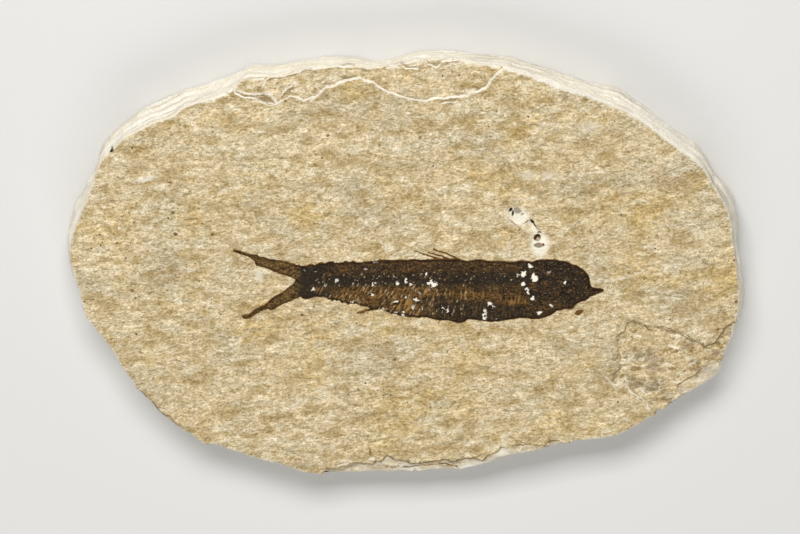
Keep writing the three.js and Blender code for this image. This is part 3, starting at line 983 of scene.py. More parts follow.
@dataclass(frozen=True)
class Stroke:
    """A thin line along a broken edge: its course, half width and coat."""

    points: Line
    half: float
    coat: Coat

    def away(self, read: Array) -> Array:
        """Distance of points from the line, in mm."""
        return line_distance(read, self.points)


@dataclass(frozen=True)
class Dish:
    """A small hollow in the face: place, half sizes, turn, depth, edge."""

    x: float
    y: float
    half: Point
    turn: float
    depth: float
    edge: float = 0.35

    def depth_at(self, read: Array) -> Array:
        """How deep the hollow is at each point, in mm."""
        u, v = spread_out(read, self.x, self.y, self.turn)
        away = np.hypot(u / self.half[0], v / self.half[1])
        return self.depth * fade(-away, -1.0 - 0.5 * self.edge, -0.7)


@dataclass(frozen=True)
class Crowd:
    """A patch of the face where the brown specks lie thick, in mm."""

    x: float
    y: float
    wide: float
    high: float
    amount: float

    def over(self, read: Array) -> Array:
        """How many more specks each point gets."""
        x, y = read[:, 0] - self.x, read[:, 1] - self.y
        return self.amount * np.exp(-np.square(x / self.wide) - np.square(y / self.high))


@dataclass
class LimestoneSlab:
    """The broken sheet of limestone that holds the fish."""

    name: str = "weathered_slab"
    node: str = "limestone_slab"
    grain: float = 0.48
    face_fall: float = 0.1
    waves: Tuple[Relief, ...] = (
        Relief(0.2, (8.0, 4.4, 4.0), 3, turn=6.0),
        Relief(0.21, (4.0, 1.8, 4.0), 1, turn=10.0),
        Relief(0.16, (2.3, 1.05, 4.0), 2, turn=1.0),
        Relief(0.08, (1.4, 0.7, 4.0), 12, turn=14.0),
    )
    crumbs: Tuple[Relief, ...] = (
        Relief(0.16, (1.9, 1.2, 4.0), 14, 0.2),
        Relief(0.1, (0.95, 0.7, 4.0), 15),
    )
    rim_breaks: Tuple[Relief, ...] = (
        Relief(0.34, (6.0, 6.0, 4.5), 4, 0.55),
        Relief(0.28, (14.0, 14.0, 0.9), 5, 0.3),
        Relief(0.13, (1.3, 1.3, 0.9), 6, 0.3),
    )
    back_lumps: Tuple[Relief, ...] = (
        Relief(0.175, (8.0, 6.0, 5.0), 7, 1.0),
        Relief(0.08, (2.0, 1.4, 2.0), 8, 1.0),
    )
    back_share: float = 0.12
    paleness: float = 0.92
    ramp: Point = (-0.06, 0.26)
    finish: SplitLimestone = field(default_factory=SplitLimestone)
    # Low swells of the face: height in mm, steepness along X and Y, start
    swells: Tuple[Tuple[float, float, float, float], ...] = (
        (0.04, 0.11, 0.16, 0.3), (0.04, 0.11, -0.16, 1.1), (0.048, 0.31, -0.22, 0.0),
        (0.032, 0.47, 0.53, 1.57),
    )
    patch: Ledge = Ledge(
        ((44.2, -11.6), (46.5, -12.0), (48.3, -13.0), (50.5, -12.2), (53.3, -13.3),
         (56.5, -14.8), (60.0, -16.9), (61.7, -15.8), (63.5, -13.5), (65.6, -11.6),
         (72.0, -11.6), (72.0, -40.0), (52.0, -40.0), (50.0, -31.0), (49.0, -29.5),
         (47.0, -27.8), (44.5, -25.3), (41.8, -24.8), (41.5, -23.2), (43.2, -21.3),
         (42.2, -19.5), (42.8, -18.4), (42.0, -14.7), (43.8, -12.9)),
        (45.0, -20.0), 0.4, (0.012, -0.008),
    )
    ledges: Tuple[Ledge, ...] = (
        # Spalled strip along the top edge
        Ledge(
            ((-35.5, 36.2), (-34.2, 35.9), (-33.9, 35.3), (-33.0, 35.1), (-31.5, 34.9),
             (-30.3, 34.7), (-29.6, 34.7), (-29.1, 34.2), (-28.5, 33.7), (-27.5, 33.3),
             (-26.5, 33.3), (-25.6, 33.7), (-24.9, 34.2), (-24.2, 34.4), (-23.6, 34.8),
             (-22.7, 35.2), (-21.6, 34.9), (-20.9, 34.5), (-20.0, 34.2), (-19.4, 34.3),
             (-18.3, 34.7), (-17.2, 35.1), (-16.9, 35.6), (-16.3, 36.3), (-15.2, 36.9),
             (-14.0, 37.2), (-13.0, 37.8), (-9.5, 39.0), (-6.5, 37.7), (-4.0, 36.2),
             (0.0, 34.7), (4.0, 34.2), (8.0, 34.8), (12.0, 35.1), (15.0, 36.5),
             (17.0, 38.8), (19.0, 40.6), (19.0, 48.0), (-40.0, 48.0), (-37.5, 38.0)),
            (0.0, 35.0), 0.45, (0.0, 0.13),
        ),
        # Deeper step at its left end
        Ledge(
            ((-34.5, 37.3), (-33.3, 37.3), (-31.7, 37.6), (-31.0, 37.3), (-30.2, 36.9),
             (-29.4, 36.5), (-28.7, 36.5), (-28.3, 37.1), (-27.9, 37.8), (-27.0, 38.3),
             (-27.0, 42.0), (-37.0, 40.0)),
            (-31.0, 37.0), 0.9, (0.0, 0.2),
        ),
        # Second step, nearer to the rim
        Ledge(
            ((-33.5, 37.4), (-32.0, 38.4), (-30.0, 39.0), (-28.7, 39.0), (-27.9, 38.5),
             (-27.0, 38.3), (-26.0, 38.6), (-24.0, 39.0), (-22.0, 39.3), (-21.0, 39.7),
             (-20.0, 40.0), (-18.0, 40.1), (-16.0, 40.4), (-14.0, 40.8), (-13.3, 40.4),
             (-12.0, 40.4), (-10.0, 40.6), (-8.0, 40.4), (-6.5, 40.6), (-5.0, 40.7),
             (-4.0, 41.1), (-3.0, 41.6), (-2.3, 41.7), (-1.3, 41.2), (-0.9, 40.5),
             (-0.3, 40.2), (0.8, 40.3), (1.8, 40.2), (2.3, 40.4), (2.6, 41.2), (2.9, 41.9),
             (3.7, 41.8), (4.2, 41.3), (5.0, 40.8), (6.0, 40.6), (6.6, 40.9), (6.9, 41.5),
             (7.1, 42.0), (10.0, 42.3), (10.0, 48.0), (-38.0, 48.0), (-37.0, 38.6)),
            (0.0, 40.0), 1.5, (0.0, 0.3),
        ),
        # Chips at the lower right and along the bottom edge
        Ledge(
            ((55.0, -25.0), (56.0, -24.4), (57.3, -23.8), (58.3, -23.2), (58.8, -22.5),
             (59.2, -21.6), (60.4, -20.9), (62.0, -20.2), (72.0, -16.0), (72.0, -34.0),
             (50.0, -34.0)),
            (57.0, -25.0), 0.8, (0.05, -0.06), 0.3,
        ),
        Ledge(
            ((-17.2, -44.0), *LEFT_CHIP, (-5.2, -41.9), *NOTCH, (3.8, -41.9), (4.4, -50.0),
             (-17.2, -50.0)),
            (-5.0, -41.0), 0.3, (0.0, -0.4), 0.62,
        ),
        Ledge(
            ((1.2, -42.4), *MIDDLE_CHIP, *RIGHT_CHIP, (33.5, -37.3), (33.5, -50.0),
             (0.8, -50.0)),
            (12.0, -41.0), 0.35, (0.02, -0.45), 0.62,
        ),
        # Sloping chip at the lower left
        Ledge(
            ((-56.0, -25.0), (-53.0, -26.5), (-50.0, -30.0), (-44.0, -34.9), (-40.0, -37.0),
             (-40.0, -46.0), (-66.0, -46.0), (-66.0, -25.0)),
            (-48.0, -32.0), 0.3, (-0.3, -0.3),
        ),
        # Two pockets in the top spall and a thin lip below it
        Ledge(
            ((-31.6, 35.2), (-29.6, 35.0), (-29.0, 34.4), (-28.4, 33.9), (-27.5, 33.6),
             (-26.6, 33.6), (-26.0, 33.9), (-26.5, 34.4), (-27.2, 34.9), (-27.9, 35.3),
             (-29.5, 35.4), (-31.4, 35.45)),
            (-29.0, 35.0), 0.68,
        ),
        Ledge(
            ((-24.9, 34.6), (-24.4, 35.1), (-23.8, 35.6), (-23.2, 36.3), (-22.6, 36.8),
             (-21.9, 37.0), (-22.0, 36.2), (-22.6, 36.0), (-23.3, 35.6), (-24.3, 34.7)),
            (-23.0, 36.0), 0.4,
        ),
        Ledge(
            ((6.3, 33.5), (8.0, 33.7), (10.4, 34.2), (10.4, 34.9), (8.2, 34.6), (6.4, 34.2)),
            (8.0, 34.0), 0.25,
        ),
    )
    # Lines along the steps: pale new break with painted highlight, and grime with painted shade
    strokes: Tuple[Stroke, ...] = (
        Stroke(((-36.5, 35.7), (-35.0, 35.9), (-34.0, 36.0), (-32.0, 35.9), (-30.5, 35.7),
                (-29.5, 35.6), (-28.4, 35.6), (-27.5, 35.5), (-26.9, 35.2), (-26.3, 34.6),
                (-25.7, 34.1)), 0.2, Coat.FRESH),
        Stroke(((-24.9, 34.9), (-24.3, 35.7), (-23.3, 36.7), (-22.5, 37.3), (-21.9, 37.5)),
               0.13, Coat.FRESH),
        Stroke(((-31.4, 35.3), (-30.3, 35.2), (-29.2, 35.3), (-28.2, 35.2), (-27.2, 34.8),
                (-26.2, 33.9)), 0.14, Coat.DIRT),
        Stroke(((-24.5, 35.0), (-23.4, 36.0), (-22.2, 36.6)), 0.2, Coat.DIRT),
        Stroke(((-27.7, 38.0), (-27.0, 38.2), (-26.0, 38.5), (-25.0, 38.7), (-23.0, 39.1),
                (-21.5, 39.4), (-20.0, 40.0), (-18.0, 40.1)), 0.12, Coat.DIRT),
        Stroke(((-13.0, 40.9), (-10.0, 41.0), (-8.0, 41.2), (-6.0, 41.1), (-4.5, 41.5),
                (-2.8, 41.9)), 0.16, Coat.DIRT),
        Stroke(((4.4, 41.6), (5.2, 41.3), (6.2, 41.3), (6.7, 41.6)), 0.18, Coat.DIRT),
        Stroke(((-2.2, 41.9), (-1.2, 41.4), (0.4, 40.8), (1.9, 40.9)), 0.14, Coat.DIRT),
        Stroke(((44.3, -11.6), (45.2, -11.6), (46.5, -11.9), (47.5, -12.4), (48.3, -13.0),
                (50.0, -12.7), (50.8, -12.1), (52.0, -12.4), (54.0, -13.4), (55.8, -14.0),
                (58.5, -15.6), (60.0, -16.8), (61.0, -16.7), (62.0, -15.6), (63.5, -13.5),
                (64.8, -12.2)), 0.09, Coat.DIRT),
        Stroke(((42.6, -14.4), (43.8, -13.2), (44.0, -12.4)), 0.1, Coat.DIRT),
        Stroke(((41.6, -22.8), (42.8, -21.8), (43.2, -21.2)), 0.1, Coat.DIRT),
        Stroke(((55.0, -25.0), (57.3, -23.8), (58.3, -23.2), (58.9, -22.3)), 0.1, Coat.DIRT),
        Stroke(((40.2, -23.6), (41.3, -24.6), (42.3, -25.0), (43.5, -24.8), (44.4, -25.3),
                (45.2, -26.6), (46.4, -27.4), (47.6, -28.1), (48.7, -29.3), (49.0, -30.5)),
               0.07, Coat.FRESH),
        Stroke(LEFT_CHIP, 0.12, Coat.DIRT),
        Stroke(((-5.0, -42.1), *NOTCH, *MIDDLE_CHIP, RIGHT_CHIP[0]), 0.12, Coat.DIRT),
        Stroke(RIGHT_CHIP, 0.1, Coat.DIRT),
        Stroke(((-4.5, -43.5), (-2.0, -42.9), (0.0, -43.2), (2.0, -42.9), (4.0, -42.8),
                (6.0, -42.5), (8.0, -42.4), (9.5, -42.9), (10.5, -43.3)), 0.1, Coat.DIRT),
        Stroke(((-53.6, 17.4), (-52.0, 17.8), (-50.0, 18.2)), 0.12, Coat.DIRT),
        Stroke(((-53.5, 17.8), (-52.0, 18.3), (-50.0, 18.7)), 0.16, Coat.FRESH),
    )
    dishes: Tuple[Dish, ...] = (
        Dish(22.2, 10.6, (2.1, 2.0), 0.0, 0.22),
        Dish(26.6, 4.9, (1.9, 2.6), 0.0, 0.22),
        Dish(24.6, 8.4, (1.9, 0.5), -22.0, 0.18),
        Dish(20.7, 11.8, (0.32, 0.62), -20.0, 0.5, 0.6),
        Dish(22.0, 11.7, (0.9, 0.6), 0.0, 0.3, 0.5),
        Dish(26.4, 7.2, (0.42, 0.26), 0.0, 0.4, 0.6),
        Dish(26.1, 5.9, (0.7, 0.75), 0.0, 0.42, 0.5),
        Dish(26.3, 4.5, (1.0, 0.5), 0.0, 0.36, 0.5),
        Dish(25.0, 9.5, (0.3, 0.22), 0.0, 0.3, 0.6),
    )
    crowds: Tuple[Crowd, ...] = (
        Crowd(-48.0, 25.0, 9.0, 7.0, 0.7),
        Crowd(-56.0, 7.0, 10.0, 12.0, 0.7),
        Crowd(49.0, 12.0, 7.0, 7.0, 0.3),
        Crowd(13.5, -23.7, 2.5, 1.6, 0.5),
        Crowd(58.0, -20.0, 6.0, 5.0, 0.3),
    )

    def chips(self) -> List[Ledge]:
        """The ledges that are chips."""
        return [ledge for ledge in self.ledges if ledge.pale]

    def build(self) -> Piece:
        """Makes the slab from a merged copy of its solid.

        Returns:
            The finished piece.
        """
        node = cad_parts[self.node]
        piece = bpy.data.objects.new(self.name, node.data.copy())
        bpy.context.scene.collection.objects.link(piece)
        self.close_bed(piece)
        even_out(piece, self.grain)
        self.refine(piece)
        self.weather(piece)
        self.thin_back(piece)
        self.record_surface(piece)
        dress(piece, self.finish, self.node)
        return piece

    def close_bed(self, piece: Piece) -> None:
        """Takes out the bed cut for the fish and closes the face over it.

        Args:
            piece: The merged copy of the slab's solid.
        """
        low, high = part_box("fossil_fish")
        only(piece)
        bpy.ops.object.mode_set(mode="EDIT")
        bpy.ops.mesh.select_all(action="SELECT")
        bpy.ops.mesh.remove_doubles(threshold=1e-6)
        bpy.ops.mesh.select_all(action="DESELECT")
        bm = bmesh.from_edit_mesh(piece.data)
        spare, shallow, deep = 0.6 * MM, 0.5 * MM, 1.0 * MM
        top = SLAB_THICKNESS * MM
        for face in bm.faces:
            c, up = face.calc_center_median(), face.normal.z
            over = low.x - spare < c.x < high.x + spare and low.y - spare < c.y < high.y + spare
            in_bed = abs(up) < 0.3 or c.z < top - shallow
            face.select = over and in_bed and c.z > top - deep and up > -0.3
        bmesh.update_edit_mesh(piece.data)
        bpy.ops.mesh.delete(type="FACE")
        bpy.ops.mesh.select_mode(type="EDGE")
        bpy.ops.mesh.select_non_manifold()
        bpy.ops.mesh.fill(use_beauty=True)
        bpy.ops.mesh.select_all(action="SELECT")
        bpy.ops.mesh.normals_make_consistent(inside=False)
        bpy.ops.mesh.select_mode(type="VERT")
        bpy.ops.object.mode_set(mode="OBJECT")

    def weights(self, piece: Piece) -> Dict[Side, Array]:
        """How far each vertex belongs to the face, the rim or the back.

        Args:
            piece: The slab.

        Returns:
            One weight per vertex for each side.
        """
        places = mesh_points(piece)
        up = mesh_normals(piece)[:, 2]
        face = fade(up, 0.7, 0.92) * fade(places[:, 2], 6.0, 7.5)
        back = fade(-up, 0.8, 0.95) * fade(-places[:, 2], -0.6, -0.1)
        return {Side.FACE: face, Side.BACK: back, Side.RIM: np.clip(1.0 - face - back, 0, 1)}

    def refine(self, piece: Piece) -> None:
        """Cuts the squares along the ledges and round the pits smaller.

        Args:
            piece: The evened slab.
        """
        read = reading(mesh_points(piece))
        margin = 0.5
        chosen = np.zeros(len(read), dtype=bool)
        for ledge in (self.patch,) + self.ledges:
            chosen |= np.abs(ledge.inside(read)) < margin
        for stroke in self.strokes:
            chosen |= stroke.away(read) < stroke.half + 0.5 * margin
        for dish in self.dishes:
            reach = max(dish.half) + margin
            chosen |= np.hypot(read[:, 0] - dish.x, read[:, 1] - dish.y) < reach
        chosen &= (read[:, 2] > 7.0) & (mesh_normals(piece)[:, 2] > 0.1)
        only(piece)
        bpy.ops.object.mode_set(mode="EDIT")
        bpy.ops.mesh.select_all(action="DESELECT")
        bpy.ops.mesh.select_mode(type="VERT")
        bm = bmesh.from_edit_mesh(piece.data)
        for vertex, wanted in zip(bm.verts, chosen):
            vertex.select = bool(wanted)
        bm.select_flush_mode()
        bmesh.update_edit_mesh(piece.data)
        bpy.ops.mesh.subdivide(number_cuts=3)
        bpy.ops.object.mode_set(mode="OBJECT")

    def top_height(self, places: Array) -> Tuple[Array, Array]:
        """Height of face and ledge floors, with ragged ledge lines.

        Args:
            places: Points in mm, one row each.

        Returns:
            The height in mm, and how near each point is to a ledge line.
        """
        height = np.full(len(places), SLAB_THICKNESS)
        for share, along_x, across_y, start in self.swells:
            height += share * np.sin(along_x * places[:, 0] + across_y * places[:, 1] + start)
        read = reading(places)
        torn = self.torn(read)
        deepest = np.zeros(len(places))
        near = np.zeros(len(places))
        for ledge in (self.patch,) + self.ledges:
            inside = ledge.inside(torn)
            drop = ledge.drop(read) * fade(inside, *self.ramp)
            deepest = np.maximum(deepest, drop)
            near = np.maximum(near, 1.0 - fade(np.abs(inside - 0.1), 0.3, 0.6))
        return height - deepest, near

    def torn(self, read: Array) -> Array:
        """Places shifted a little to and fro, which makes drawn lines ragged.

        Args:
            read: Points in mm about the drawing's own centre.

        Returns:
            The shifted points, all at height 0.
        """
        flat = read * np.array([1.0, 1.0, 0.0])
        moved = flat.copy()
        for size, reach, seed in ((2.6, 0.34, 41), (0.9, 0.2, 43), (0.4, 0.08, 45)):
            moved[:, 0] += reach * lumps(flat, (size, size, 9.0), seed)
            moved[:, 1] += reach * lumps(flat, (size, size, 9.0), seed + 1)
        return moved

    def settle(
        self, places: Array, normals: Array, flat: Array,
    ) -> Array:
        """Lets the top down to the ledges' floors and cuts what stands over.

        Args:
            places: Points in mm, which are moved.
            normals: Their normals.
            flat: How far each point belongs to the face.

        Returns:
            How far each point belongs to the face or to a ledge's floor.
        """
        height, near = self.top_height(places)
        above = places[:, 2] - height
        close = (above > -0.9) & (above < 2.0)
        upper = np.maximum(flat, near * close * fade(normals[:, 2], 0.05, 0.3))
        read = reading(places)
        for chip in self.chips():
            stub = fade(chip.inside(read), 0.1, 0.3) * fade(above, 0.1, 0.4)
            upper = np.maximum(upper, stub * (above < 3.0))
        places[:, 2] += upper * np.where(above > -0.9, height - places[:, 2], 0.0)
        return upper

    def near_bone(self, places: Array) -> Array:
        """How near each point is to the fish, where the stone lies smoother.

        Args:
            places: Points in mm.

        Returns:
            A share from 0 to 1 for each point.
        """
        read = reading(places)
        near = bump(np.minimum(outline_distance(read, FISH_OUTLINE), 0.0), 1.6)
        for line, _ in FIN_RAYS:
            near = np.maximum(near, bump(line_distance(read, line), 0.9))
        return near

    def weather(self, piece: Piece) -> None:
        """Roughens face, rim and back, each in its own way.

        Args:
            piece: The refined slab.
        """
        places = mesh_points(piece)
        normals = mesh_normals(piece)
        weight = self.weights(piece)
        upper = self.settle(places, normals, weight[Side.FACE])
        bone = self.near_bone(places)
        level = places[:, 2] - SLAB_THICKNESS
        places[:, 2] -= weight[Side.FACE] * bone * np.where(np.abs(level) < 0.4, level, 0.0)

        face = sum((wave.over(places) for wave in self.waves), -self.face_fall)
        face *= 1.0 - 0.65 * bone
        read = reading(places)
        crumbled = fade(self.patch.inside(read), 0.1, 0.6)
        face += crumbled * sum(crumb.over(places) for crumb in self.crumbs)
        face -= self.dished(read)
        rim = sum(broken.over(places) for broken in self.rim_breaks)
        rim *= 1.0 - 0.6 * fade(places[:, 2], SLAB_THICKNESS - 1.2, SLAB_THICKNESS)
        back = sum(lump.over(places) for lump in self.back_lumps)
        places[:, 2] += face * upper
        shift = rim * np.clip(weight[Side.RIM] - upper, 0, 1) + back * weight[Side.BACK]
        places += normals * shift[:, None]
        places[:, 2] = np.maximum(places[:, 2], 0.0)
        move_points(piece, places)

    def dished(self, read: Array) -> Array:
        """Depth of the small pits and hollows above the head.

        Args:
            read: Points in mm about the drawing's own centre.

        Returns:
            The depth in mm at each point.
        """
        uneven = read.copy()
        uneven[:, 0] += 0.22 * lumps(read, (0.7, 0.7, 9.0), 51)
        uneven[:, 1] += 0.22 * lumps(read, (0.7, 0.7, 9.0), 52)
        return np.max([dish.depth_at(uneven) for dish in self.dishes], axis=0)

    def thin_back(self, piece: Piece) -> None:
        """Takes most of the small squares off the back, which is nearly flat.

        Args:
            piece: The weathered slab.
        """
        only(piece)
        hidden = piece.vertex_groups.new(name=Side.BACK.value)
        chosen = np.flatnonzero(self.weights(piece)[Side.BACK] > 0.5)
        hidden.add([int(i) for i in chosen], 1.0, "REPLACE")
        thin = piece.modifiers.new("thin", "DECIMATE")
        thin.vertex_group = hidden.name
        faces = len(piece.data.polygons) * 2
        backs = len(chosen) * 2
        thin.ratio = (faces - backs * (1.0 - self.back_share)) / faces
        bpy.ops.object.modifier_apply(modifier=thin.name)
        piece.vertex_groups.clear()
        places = mesh_points(piece)
        places[:, 2] = np.maximum(places[:, 2], 0.0)
        move_points(piece, places)

    def breaks(
        self, places: Array, normals: Array, weight: Dict[Side, Array],
    ) -> Tuple[Array, Array]:
        """Where the stone is pale from new breaks and painted highlight, and dark from grime and
        painted shade.

        Args:
            places: Points in mm.
            normals: Their normals.
            weight: How far each point belongs to face, rim and back.

        Returns:
            The share of pale break with painted highlight, and the share of grime with painted
            shade, at each point.
        """
        read = reading(places)
        height, near = self.top_height(places)
        sunk = height - places[:, 2]
        near *= fade(-sunk, -1.3, -0.8)
        steep = fade(-normals[:, 2], -0.9, -0.66) * fade(places[:, 2], 1.0, 3.0)
        # How far a wall faces the key lamp: painted highlight where it does, painted shade where
        # it is turned away
        lit = fade(normals[:, 1], -0.25, 0.2)
        pale_rim = self.paleness * weight[Side.RIM]
        # Painted highlight on ledge walls that face the lamp, and the pale rim
        broken = np.maximum(steep * near * lit, pale_rim * (1.0 - near))
        broken = np.maximum(broken, pale_rim * fade(sunk, 0.5, 1.5))
        uneven = 0.8 + 0.9 * lumps(read, (2.2, 1.1, 2.0), 20)
        for chip in self.chips():
            floor = fade(chip.inside(read), 0.0, 0.4) * (places[:, 2] > 6.0)
            broken = np.maximum(broken, chip.pale * floor * uneven)
        broken *= 0.94 + 0.16 * lumps(places, (2.4, 2.4, 0.8), 9)
        foot = near * weight[Side.FACE] * fade(lumps(places, (1.4, 0.9, 9.0), 16), 0.1, 0.6)
        crack = weight[Side.RIM] * fade(lumps(places, (9.0, 9.0, 0.6), 17), 0.45, 0.75)
        # Dark patches along the steps and in rim cracks, and painted shade on ledge walls turned
        # from the lamp
        dirty_and_shaded = np.maximum(0.3 * foot + 0.3 * crack, 0.6 * steep * near * (1.0 - lit))
        at_patch = fade(read[:, 0], 38.0, 40.0) * near * fade(-read[:, 1], 10.0, 12.0)
        return broken * (1.0 - 0.95 * at_patch), dirty_and_shaded

    def drawn(self, places: Array, coat: Coat) -> Array:
        """Where the thin lines of one coat lie.

        Args:
            places: Points in mm.
            coat: Which of the lines.

        Returns:
            The share of the coat at each point.
        """
        read = reading(places)
        ragged = self.torn(read)
        below = self.top_height(places)[0] - places[:, 2]
        faint = 0.82 + 0.34 * lumps(read, (1.6, 1.6, 9.0), 63)
        faint *= fade(below, -0.6, -0.5) * fade(-below, -1.4, -0.9)
        covered = np.zeros(len(places))
        for stroke in self.strokes:
            if stroke.coat is coat:
                line = fade(-stroke.away(ragged), -1.5 * stroke.half, -0.6 * stroke.half)
                covered = np.maximum(covered, faint * line)
        return covered

    def record_surface(self, piece: Piece) -> None:
        """Stores where the stone is broken, spalled, grimy or speckled, and where light and shade
        are painted.

        Args:
            piece: The slab in its last shape.
        """
        places = mesh_points(piece)
        weight = self.weights(piece)
        read = reading(places)
        broken, dirty_and_shaded = self.breaks(places, mesh_normals(piece), weight)
        # Pale lines with painted highlight, and dark lines of grime with painted shade
        pale_lines = 0.85 * self.drawn(places, Coat.FRESH)
        dark_lines = self.drawn(places, Coat.DIRT) * (1.0 - 0.4 * fade(read[:, 1], 30.0, 32.0))
        paint(piece, Coat.FRESH.value, np.maximum(broken, pale_lines))
        paint(piece, Coat.DIRT.value, np.maximum(dirty_and_shaded, dark_lines))
        inside = fade(self.patch.inside(read), -0.1, 0.3) * weight[Side.FACE]
        blotch = 0.85 + 0.3 * lumps(read, (3.0, 2.0, 9.0), 10)
        paint(piece, "spalled", inside * blotch)
        # Painted shade in the low parts of the two finer ripples
        fine = 0.8 * self.waves[1].pattern(places) + self.waves[2].pattern(places)
        paint(piece, "shaded_hollows", 0.5 * weight[Side.FACE] * fade(-fine, 0.0, 0.9))
        dense = np.max([crowd.over(read) for crowd in self.crowds], axis=0)
        uneven = 0.6 + 0.7 * lumps(read, (5.0, 3.0, 6.0), 11)
        paint(piece, "speckled", (0.2 + dense) * uneven * weight[Side.FACE])


@dataclass(frozen=True)
class Flake:
    """A place where the bone film has come off: place, half sizes, turn."""

    x: float
    y: float
    half: Tuple[float, float]
    turn: float = 0.0
    strength: float = 1.0


@dataclass
class BodyMap:
    """Where each point of the fish lies, in mm and as shares from 0 to 1.

    The points are read about the drawing's own centre.
    """

    read: Array
    x: Array = field(init=False)
    y: Array = field(init=False)
    inner: Array = field(init=False)
    below: Array = field(init=False)
    body: Array = field(init=False)
    gill: Array = field(init=False)
    head: Array = field(init=False)
    tail: Array = field(init=False)
    front: Array = field(init=False)
    upper: Array = field(init=False)
    flank: Array = field(init=False)
    share: Array = field(init=False)
    ribs: Array = field(init=False)

    def __post_init__(self) -> None:
        """Works out the parts of the body."""
        read = self.read
        x, y = read[:, 0], read[:, 1]
        self.x, self.y = x, y
        self.inner = outline_distance(read, FISH_OUTLINE)
        self.below = along(BACKBONE, x) - y
        self.body = fade(x, -21.0, -17.0) * fade(-x, -HEAD_START - 0.5, -HEAD_START + 0.5)
        self.gill = x + 0.35 * (y + 5.0) - HEAD_START
        self.head = fade(self.gill, -0.3, 0.3)
        self.tail = fade(-x, 20.5, 22.5)
        self.front = fade(x, 0.0, 9.0)
        self.upper = self.body * fade(-self.below, 0.7, 1.2)
        self.flank = self.body * fade(self.below, 1.0, 2.2) * fade(self.inner, 0.2, 0.7)
        golden = y - along(((-20.0, -4.5), (5.6, -4.9), (23.2, -7.0)), x)
        self.share = (1.0 - self.front) + self.front * np.maximum(bump(golden, 1.15), 0.25)
        self.ribs = self.rib_strokes()

    def rib_strokes(self) -> Array:
        """Finds the fine leaning ribs of the flank.

        Returns:
            A share from 0 to 1 for each point.
        """
        read = self.read
        lean = 0.5 - 0.4 * fade(self.x, -4.0, 8.0)
        slanted = np.stack([self.x - lean * self.y, self.y, np.zeros(len(self.x))], axis=1)
        phase = slanted[:, 0] * 2 * math.pi / RIB_SPACING
        phase += 2.6 * lumps(read, (2.0, 1.5, 9.0), 21)
        ribs = fade(lumps(slanted, (0.36, 1.25, 9.0), 22) + 0.35 * np.cos(phase), 0.1, 0.75)
        return ribs * self.flank * self.share * fade(lumps(read, (2.4, 1.3, 9.0), 27), -0.75, 0.3)

    def relief(self) -> Array:
        """Works out how high bones, ribs, slits and scales stand.

        Returns:
            The height over the plain body in mm at each point.
        """
        x, y, read = self.x, self.y, self.read
        rise = bump(self.below, 0.45) * self.body
        rise *= 0.05 + 0.05 * np.cos(x * 2 * math.pi / SPINE_SPACING)
        rise += 0.07 * self.ribs
        rise += 0.025 * np.cos((x + 0.6 * y) * 2 * math.pi / SCALE_SPACING) * self.upper
        rise -= 0.1 * bump(self.gill, 0.35) * fade(self.inner, 0.2, 0.8)
        rise += 0.05 * bump(self.gill - 1.6, 1.4) * self.head
        eye = np.hypot(x - EYE[0], y - EYE[1])
        rise -= 0.06 * bump(eye - 1.7, 0.35) + 0.05 * bump(eye, 0.9)
        jaw = y + 5.0 + 0.33 * (39.0 - x)
        rise -= 0.07 * bump(jaw, 0.25) * fade(x, 31.5, 33.0)
        spread = np.arctan2(y + 2.7, x + 19.0)
        rise += 0.03 * np.cos(spread * 130.0) * self.tail * fade(self.inner, 0.1, 0.5)
        rise += 0.035 * lumps(read, (0.9, 0.6, 9.0), 23)
        return rise + 0.03 * lumps(read, (0.4, 0.35, 9.0), 24)

    def zones(self) -> Dict[str, Array]:
        """How far each point belongs to the zones of colour.

        Returns:
            One share per point for each coat of the bone's finish.
        """
        x, y, read = self.x, self.y, self.read
        body, head, tail, inner = self.body, self.head, self.tail, self.inner
        band = body * bump(self.below - 0.35, 1.25)
        band = np.maximum(band, fade(-x, 12.0, 18.0) * (1.0 - tail) * 0.85)
        edge = (1.0 - fade(inner, 0.26, 0.6)) * fade(inner, 0.0, 0.1)
        edge *= (0.8 + 0.4 * lumps(read, (1.1, 0.8, 9.0), 28)) * (1.0 - 0.35 * tail)
        fringe = (1.0 - fade(inner, 0.06, 0.2)) * (0.8 + 0.45 * lumps(read, (0.8, 0.6, 9.0), 29))
        fin = fade(-x, 7.6, 8.0) * fade(x, -10.6, -10.2) * fade(-y, 8.6, 8.9)
        under = along(((5.6, -4.9), (23.2, -7.0)), x) - y
        under = self.front * (1.0 - head) * fade(under, 0.9, 1.9)
        rim = body * (self.below > 0) * (1.0 - fade(inner, 0.2, 0.7))
        under = np.maximum(under * body, 0.7 * rim)
        patchy = 0.65 + 0.5 * lumps(read, (3.5, 1.2, 9.0), 25)
        cheek = head * fade(-y, 6.0, 8.2) * fade(-x, -33.5, -30.0)
        return {
            "warm": np.maximum(self.upper * patchy, 0.9 * cheek),
            "belly": self.flank * self.share * (0.7 + 0.4 * lumps(read, (2.0, 1.0, 9.0), 30)),
            "spine_band": np.maximum(band, 0.8 * under) * (0.85 + 0.2 * patchy),
            "head": head * (1.0 - 0.7 * cheek) * (0.8 + 0.3 * lumps(read, (3.0, 2.0, 9.0), 26)),
            "tail": tail * (0.8 + 0.2 * patchy),
            "spine_core": 0.55 * np.maximum(band, 0.5 * under) * (0.7 + 0.5 * patchy),
            "rib": self.ribs * (0.64 - 0.2 * self.front),
            "edge": edge,
            "fringe": np.maximum(fringe, fin),
        }


